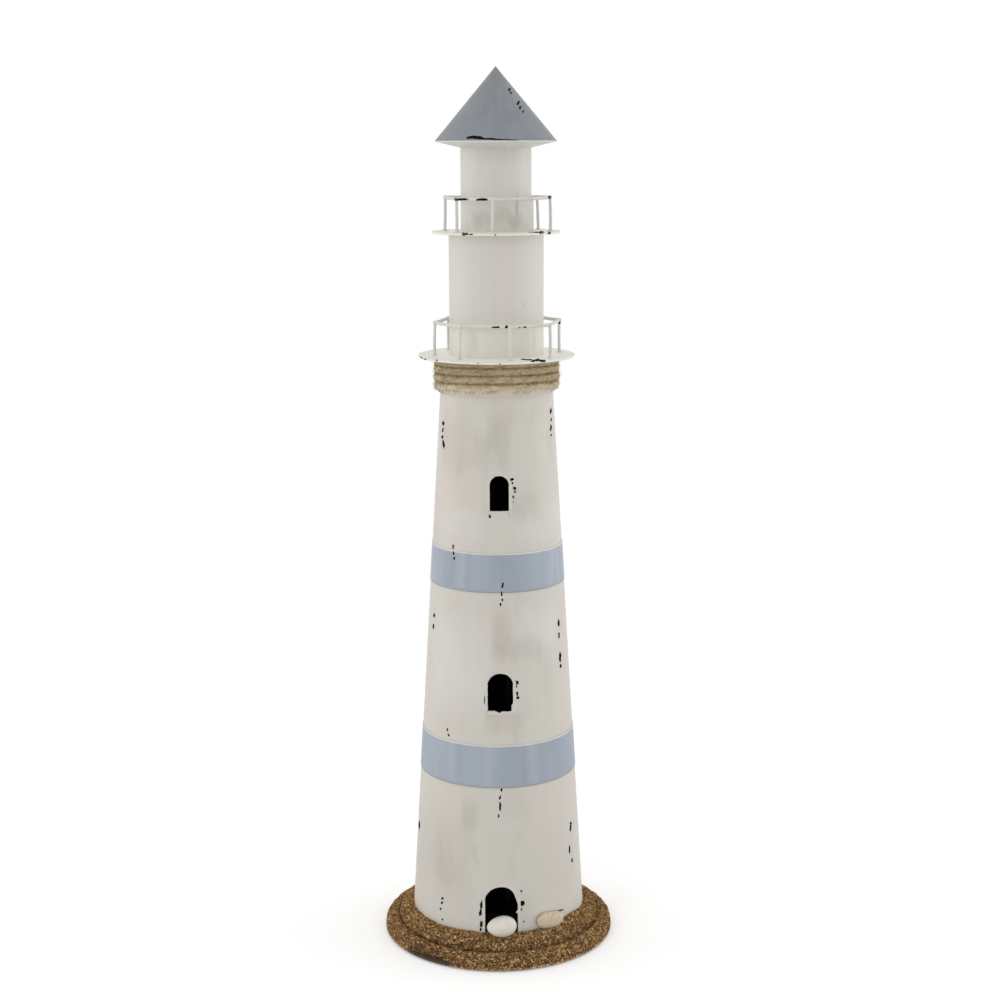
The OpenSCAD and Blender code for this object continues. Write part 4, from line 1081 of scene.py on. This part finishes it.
def cellSprings():
    bits = Bits()
    for cell, side in ((-1, -1), (0, 1), (1, -1)):
        steps = int(springs["coils"] * 28)
        path = []
        for i in range(steps + 1):
            t = i / steps
            a = 2 * math.pi * springs["coils"] * t
            r = springs["wide"] * (1 - t) + springs["narrow"] * t - springs["wire"]
            climb = min(max((t - 0.09) / 0.82, 0), 1)
            rise = climb * (springs["long"] - 2 * springs["wire"]) + springs["wire"]
            path.append((cell * springs["pitch"] + r * math.cos(a), side * (springs["seat"] - rise),
                         springs["height"] + r * math.sin(a)))
        bits.add(*sweep(path, lambda k, angle: springs["wire"], 10, up=(0, 1, 0)))
    piece = bits.build("cellSprings", springWire, slot="contact_metal")
    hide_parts("contact_springs")


cellSprings()


print("worn paint")
# where the paint is off, and one painted shadow, in the photograph's frame: across, down, width, height, lean
wornAndShadowSpots = {
    "roof_cone": [(509.4, 89.5, 2.1, 3.2, 20), (510.9, 92.8, 1.6, 2.1, 0), (518.3, 102.9, 1.9, 4.4, 30),
                  (520.1, 107.5, 1.6, 3.2, 10), (523.2, 111.8, 1.6, 2.3, 0), (472.6, 137.3, 14.0, 2.3, -4),
                  (479.0, 138.2, 12.0, 2.2, 2), (488.0, 138.9, 16.0, 1.5, 1), (500.0, 139.6, 18.0, 1.1, 1),
                  (512.0, 140.2, 16.0, 0.9, 1)],
    "upper_gallery": [(465.0, 233.7, 7.6, 2.0, 8), (471.0, 234.4, 3.4, 1.4, 0), (535.5, 232.3, 12.0, 1.1, 0),
                      (541.5, 232.6, 5.0, 2.2, 0), (549.4, 232.8, 3.0, 2.4, 0)],
    "lower_gallery": [(425.0, 359.7, 2.4, 1.7, 25), (437.0, 360.3, 1.6, 1.0, 0), (527.0, 359.7, 11.0, 1.1, 2),
                      (536.0, 360.6, 9.0, 3.0, -8), (542.6, 361.0, 7.0, 2.2, 4), (533.8, 355.8, 3.6, 1.0, 0),
                      (421.5, 357.6, 3.8, 0.5, 32)],
    "tower_shell": [(443.4, 423.5, 1.8, 4.2, 0), (442.9, 430.0, 1.0, 5.0, 8), (442.4, 437.0, 1.8, 3.0, 0),
                    (443.6, 444.0, 1.6, 9.0, -8), (550.8, 411.0, 1.4, 5.5, 4), (551.2, 419.5, 1.1, 3.0, 0),
                    (550.9, 427.5, 1.6, 6.0, 3), (551.2, 435.0, 1.0, 2.4, 0), (512.1, 479.5, 3.6, 2.5, -10),
                    (512.4, 482.9, 1.4, 2.2, 0), (514.6, 488.4, 3.2, 2.8, 10), (514.8, 491.7, 1.4, 2.4, 0),
                    (513.3, 497.0, 1.6, 2.0, 0), (513.4, 502.2, 0.7, 0.8, 0), (489.8, 516.6, 2.1, 3.2, 0),
                    (434.1, 615.3, 1.6, 4.0, 0), (433.5, 626.5, 1.2, 4.6, 4), (558.6, 623.0, 1.5, 7.0, 4),
                    (558.9, 635.0, 1.3, 6.0, 0), (560.1, 656.5, 2.0, 9.0, 2), (560.6, 666.0, 1.4, 3.6, 0),
                    (516.8, 682.6, 3.4, 3.8, 6), (516.5, 686.4, 1.4, 2.8, 8), (517.2, 693.8, 1.8, 3.8, 0),
                    (517.7, 697.6, 3.1, 3.0, -12), (484.7, 699.8, 1.1, 7.0, 4), (447.4, 729.6, 1.1, 3.0, 0),
                    (448.6, 735.0, 1.2, 2.6, 0), (501.5, 790.0, 1.5, 3.4, 0), (500.1, 797.6, 1.8, 4.4, 10),
                    (500.3, 806.4, 1.7, 9.0, 2), (498.7, 816.0, 1.2, 3.0, 0), (521.5, 746.5, 1.4, 1.4, 0),
                    (419.3, 824.5, 1.3, 8.0, 3), (570.6, 826.6, 1.7, 10.0, 3), (569.6, 849.5, 1.2, 8.0, 0),
                    (572.0, 860.0, 1.4, 4.0, 0), (481.5, 905.2, 2.6, 9.2, 6), (480.3, 912.8, 2.3, 7.6, 8),
                    (481.2, 924.3, 2.7, 5.8, 4), (480.8, 929.2, 1.8, 3.2, 0), (521.4, 891.2, 1.5, 2.0, 0),
                    (522.3, 903.5, 3.9, 5.1, 12), (521.1, 909.2, 2.0, 2.2, 20), (442.6, 898.2, 2.2, 2.4, 0),
                    (442.0, 902.8, 1.6, 2.6, 16), (440.6, 909.0, 1.6, 2.0, 0), (442.4, 919.6, 1.2, 2.0, 0),
                    # the last entry is no chip but a painted shadow: a thin black line where the shell's edge
                    # shades the tower
                    (523.8, 921.4, 1.4, 1.2, 0), (560.2, 910.4, 8.0, 0.9, -10)],
    "upper_band": [(453.1, 547.0, 1.4, 4.4, 6), (453.6, 553.0, 1.2, 3.6, 0), (454.1, 558.2, 1.5, 3.0, 0),
                   (502.6, 585.2, 1.8, 4.8, 10), (501.6, 594.0, 1.6, 4.0, 0), (502.4, 600.0, 1.3, 3.0, 0),
                   (500.6, 604.6, 1.6, 3.2, 0)],
}
railSpots = {
    "upper": [(461.6, 199.4, 13.0, 2.2, -1), (455.6, 199.6, 3.0, 3.0, 0), (481.8, 199.6, 12.6, 2.0, 0),
              (549.6, 197.3, 2.8, 2.6, 0)],
    "lower": [(496.0, 327.2, 8.0, 1.8, -2), (506.5, 326.8, 2.8, 2.8, 30), (519.5, 328.2, 1.8, 1.8, 0),
              (524.8, 327.4, 3.2, 1.6, 0), (559.4, 322.2, 2.4, 4.0, 0)],
}
# where chips lie at the sides and the back: height or lowest and highest place, in mm
wornHeight = {"tower_shell": (40, 400), "upper_band": (272, 292), "lower_band": (131, 154),
              "upper_gallery": 516.9, "lower_gallery": 430.4, "roof_cone": (584, 622)}
wornSeeds = {"seed": 41, "tower": 30, "band": 5, "disc": 7, "roof": 9, "rail": 5, "lift": 0.05, "sunk": 0.25}


def treeOf(*pieces):
    points, faces = [], []
    for piece in pieces:
        start = len(points)
        points += [tuple(piece.matrix_world @ v.co) for v in piece.data.vertices]
        faces += [tuple(start + i for i in face.vertices) for face in piece.data.polygons]
    return BVHTree.FromPolygons(points, faces)


def wornAndShadowPatch(bits, tree, rays, ragged, dice, depth=4.0):
    # rays(across, down) gives the sight line of a point of the patch, -1 to 1 each way; depth is in mm
    start, aim = rays(0, 0)
    middle, faceUp, _, away = tree.ray_cast(start, aim)
    if middle is None:
        return
    if faceUp.dot(aim) > 0:
        faceUp = -faceUp
    count, rings = 18, 3
    reach, ends = [], []
    for i in range(count):
        a = 2 * math.pi * i / count
        c, s = math.cos(a), math.sin(a)
        square = (abs(c) ** 2.8 + abs(s) ** 2.8) ** (-1 / 2.8)
        long = 0.93 * square + ragged * (ripple(c * 2, s * 2, dice[0] * 50, 1.3)
                                         + 0.6 * ripple(c * 6, s * 6, dice[1] * 50, 1.3))
        for shrink in (1, 0.85, 0.7, 0.55, 0.4, 0.25, 0):
            spot, _, _, edgeAway = tree.ray_cast(*rays(c * long * shrink, s * long * shrink))
            if spot is not None and abs(edgeAway - away) < depth * mm:
                break
        reach.append(long * shrink)
    lift, sunk = wornSeeds["lift"] * mm, wornSeeds["sunk"] * mm
    points = [middle + faceUp * lift]
    for ring in range(1, rings + 1):
        for i in range(count):
            a = 2 * math.pi * i / count
            far = reach[i] * ring / rings
            start, aim = rays(math.cos(a) * far, math.sin(a) * far)
            spot, up = tree.ray_cast(start, aim)[:2]
            if spot is None:
                spot, up = middle, faceUp
            if up.dot(aim) > 0:
                up = -up
            points.append(spot + up * lift)
            if ring == rings:
                ends.append(spot - up * sunk)
    points += ends + [middle - faceUp * sunk]
    faces = capFaces(0, 1, count, turned=True) + ringFaces(rings + 1, count, 1, turned=True)
    faces += capFaces(len(points) - 1, 1 + rings * count, count)
    bits.add(np.array([tuple(p) for p in points]) / mm, faces)


def frontRays(spot):
    across, down, wide, tall, lean = spot
    c, s = math.cos(math.radians(lean)), math.sin(math.radians(lean))

    def rays(u, v):
        x, y = u * (wide / 2 + 0.2), v * (tall / 2 + 0.2)
        return sightLine(across + x * c - y * s, down + x * s + y * c)
    return rays


def roundRays(turnDeg, height, wide, tall, lean):
    # sight lines from outside towards the axis
    out, across = [Vector(axis) for axis in outAndAcross(turnDeg)]
    c, s = math.cos(math.radians(lean)), math.sin(math.radians(lean))

    def rays(u, v):
        x, y = u * wide / 2, v * tall / 2
        start = out * 0.2 + across * (x * c - y * s) * mm + Vector((0, 0, (height + x * s + y * c) * mm))
        return start, -out
    return rays


def wearPieces():
    dice = np.random.default_rng(wornSeeds["seed"])
    bits = Bits()
    trees = {name: treeOf(nodes[name]) for name in ("roof_cone", "upper_gallery", "lower_gallery",
                                                    "tower_shell", "lower_band")}
    trees["upper_band"] = treeOf(nodes["tower_shell"], nodes["upper_band"])    # some lie just below the band
    for name, spots in wornAndShadowSpots.items():
        for spot in spots:
            depth = 30 if "gallery" in name else 4
            wornAndShadowPatch(bits, trees[name], frontRays(spot), 0.55, dice.random(2), depth)
    # strings of chips run down the sides and the back
    for n in range(wornSeeds["tower"]):
        turnDeg = dice.uniform(2, 178)
        height = dice.uniform(*wornHeight["tower_shell"])
        for k in range(dice.integers(1, 5)):
            large = dice.random() ** 2
            spot = roundRays(turnDeg + dice.uniform(-1.2, 1.2), height,
                             0.8 + 1.6 * large + dice.uniform(0, 0.5),
                             1.6 + 5.5 * large + dice.uniform(0, 1.5), dice.uniform(-16, 16))
            height -= 3.5 + 5.5 * large + dice.uniform(0, 9) ** 1.2
            wornAndShadowPatch(bits, trees["tower_shell"], spot, 0.55, dice.random(2))
    for name in ("upper_band", "lower_band"):
        for n in range(wornSeeds["band"]):
            spot = roundRays(dice.uniform(5, 175), dice.uniform(*wornHeight[name]), dice.uniform(0.8, 1.8),
                             dice.uniform(2, 5), dice.uniform(-12, 12))
            wornAndShadowPatch(bits, trees[name], spot, 0.5, dice.random(2))
    for name in ("upper_gallery", "lower_gallery"):
        for n in range(wornSeeds["disc"]):
            spot = roundRays(dice.uniform(5, 175), wornHeight[name], dice.uniform(2, 8),
                             dice.uniform(0.6, 1.1), 0)
            wornAndShadowPatch(bits, trees[name], spot, 0.4, dice.random(2))
    for n in range(wornSeeds["roof"]):
        spot = roundRays(dice.uniform(5, 175), dice.uniform(*wornHeight["roof_cone"]), dice.uniform(0.8, 1.8),
                         dice.uniform(1.2, 3.5), dice.uniform(-30, 30))
        wornAndShadowPatch(bits, trees["roof_cone"], spot, 0.5, dice.random(2))
    bits.build("wornAndShadowSpots", bareIronAndShadow)
    for name, posts, rail in (("upper", upperPosts, upperRail), ("lower", lowerPosts, lowerRail)):
        bits = Bits()
        tree = treeOf(rail, posts)
        for spot in railSpots[name]:
            wornAndShadowPatch(bits, tree, frontRays(spot), 0.45, dice.random(2))
        for n in range(wornSeeds["rail"]):
            height = railings[name]["rail"] + dice.uniform(-0.3, 0.3)
            spot = roundRays(dice.uniform(5, 175), height, dice.uniform(1.5, 7), dice.uniform(0.8, 1.6), 0)
            wornAndShadowPatch(bits, tree, spot, 0.45, dice.random(2))
        bits.build(name + "RailWorn", bareIronAndShadow)


wearPieces()


print("studio")
studio = {"surround": 0.85, "floorReach": 2.2, "floorFade": (0.45, 1.5), "target": 0.33, "floorGlow": 0.2}
# watts, degrees left of the front, degrees up, distance and size in metres
lamps = {"key": (2.1, 38.0, 22.0, 1.7, 0.5), "leftPanel": (3.7, 100.0, 8.0, 1.5, 1.1),
         "rightPanel": (4.9, -96.0, 8.0, 1.5, 1.1)}
scene = bpy.context.scene
scene.view_settings.view_transform = "Standard"


class Surround(Finish):
    # the same way of adding nodes, for the world
    def __init__(self):
        world = bpy.data.worlds.new("surround")
        world.use_nodes = True
        scene.world = world
        self.tree = world.node_tree
        self.tree.nodes.clear()


def whiteSurround():
    f = Surround()
    straight, glossy, through = [f.add("ShaderNodeLightPath", output="Is %s Ray" % kind)
                                 for kind in ("Camera", "Glossy", "Transmission")]
    seen = f.add("ShaderNodeMath", {"operation": "MAXIMUM"}, {
        0: straight, 1: f.add("ShaderNodeMath", {"operation": "MAXIMUM"}, {0: glossy, 1: through})})
    plain, bright = [f.add("ShaderNodeBackground", {}, {"Color": (1, 1, 1, 1), "Strength": strength})
                     for strength in (studio["surround"], 1.0)]
    mixed = f.add("ShaderNodeMixShader", {}, {0: seen, 1: plain, 2: bright})
    f.plug(f.tree.nodes.new("ShaderNodeOutputWorld").inputs["Surface"], mixed)


whiteSurround()
target = Vector((0, 0, studio["target"]))
for name, (watts, turnDeg, liftDeg, away, size) in lamps.items():
    light = bpy.data.lights.new(name, "AREA")
    light.energy = watts
    light.size = size
    lamp = bpy.data.objects.new(name, light)
    bpy.context.collection.objects.link(lamp)
    around, above = math.radians(turnDeg), math.radians(liftDeg)
    lamp.location = target + away * Vector((-math.sin(around) * math.cos(above),
                                            -math.cos(around) * math.cos(above), math.sin(above)))
    lamp.rotation_euler = (target - lamp.location).to_track_quat("-Z", "Y").to_euler()


def paleFloor():
    f = Finish("paleFloor", Roughness=0.9, Specular_IOR_Level=0.1)
    f.use("Base Color", f.mix(f.cloud(f.place(), 30, 2), rgb(240, 240, 240), rgb(243, 243, 243)))
    away = f.add("ShaderNodeVectorMath", {"operation": "LENGTH"}, {0: f.place()}, "Value")
    f.use("Alpha", 1 - f.step(away, *studio["floorFade"]))
    seen = f.add("ShaderNodeLightPath", output="Is Camera Ray")
    f.use("Emission Color", f.mix(seen, rgb(0, 0, 0), (studio["floorGlow"],) * 3 + (1,)))
    f.shader.inputs["Emission Strength"].default_value = 1.0
    mesh = bpy.data.meshes.new("floor")
    form = bmesh.new()
    bmesh.ops.create_grid(form, x_segments=24, y_segments=24, size=studio["floorReach"])
    form.to_mesh(mesh)
    form.free()
    mesh.materials.append(f.material)
    floor = bpy.data.objects.new("floor", mesh)
    bpy.context.collection.objects.link(floor)


paleFloor()
bpy.context.view_layer.update()
print("done")
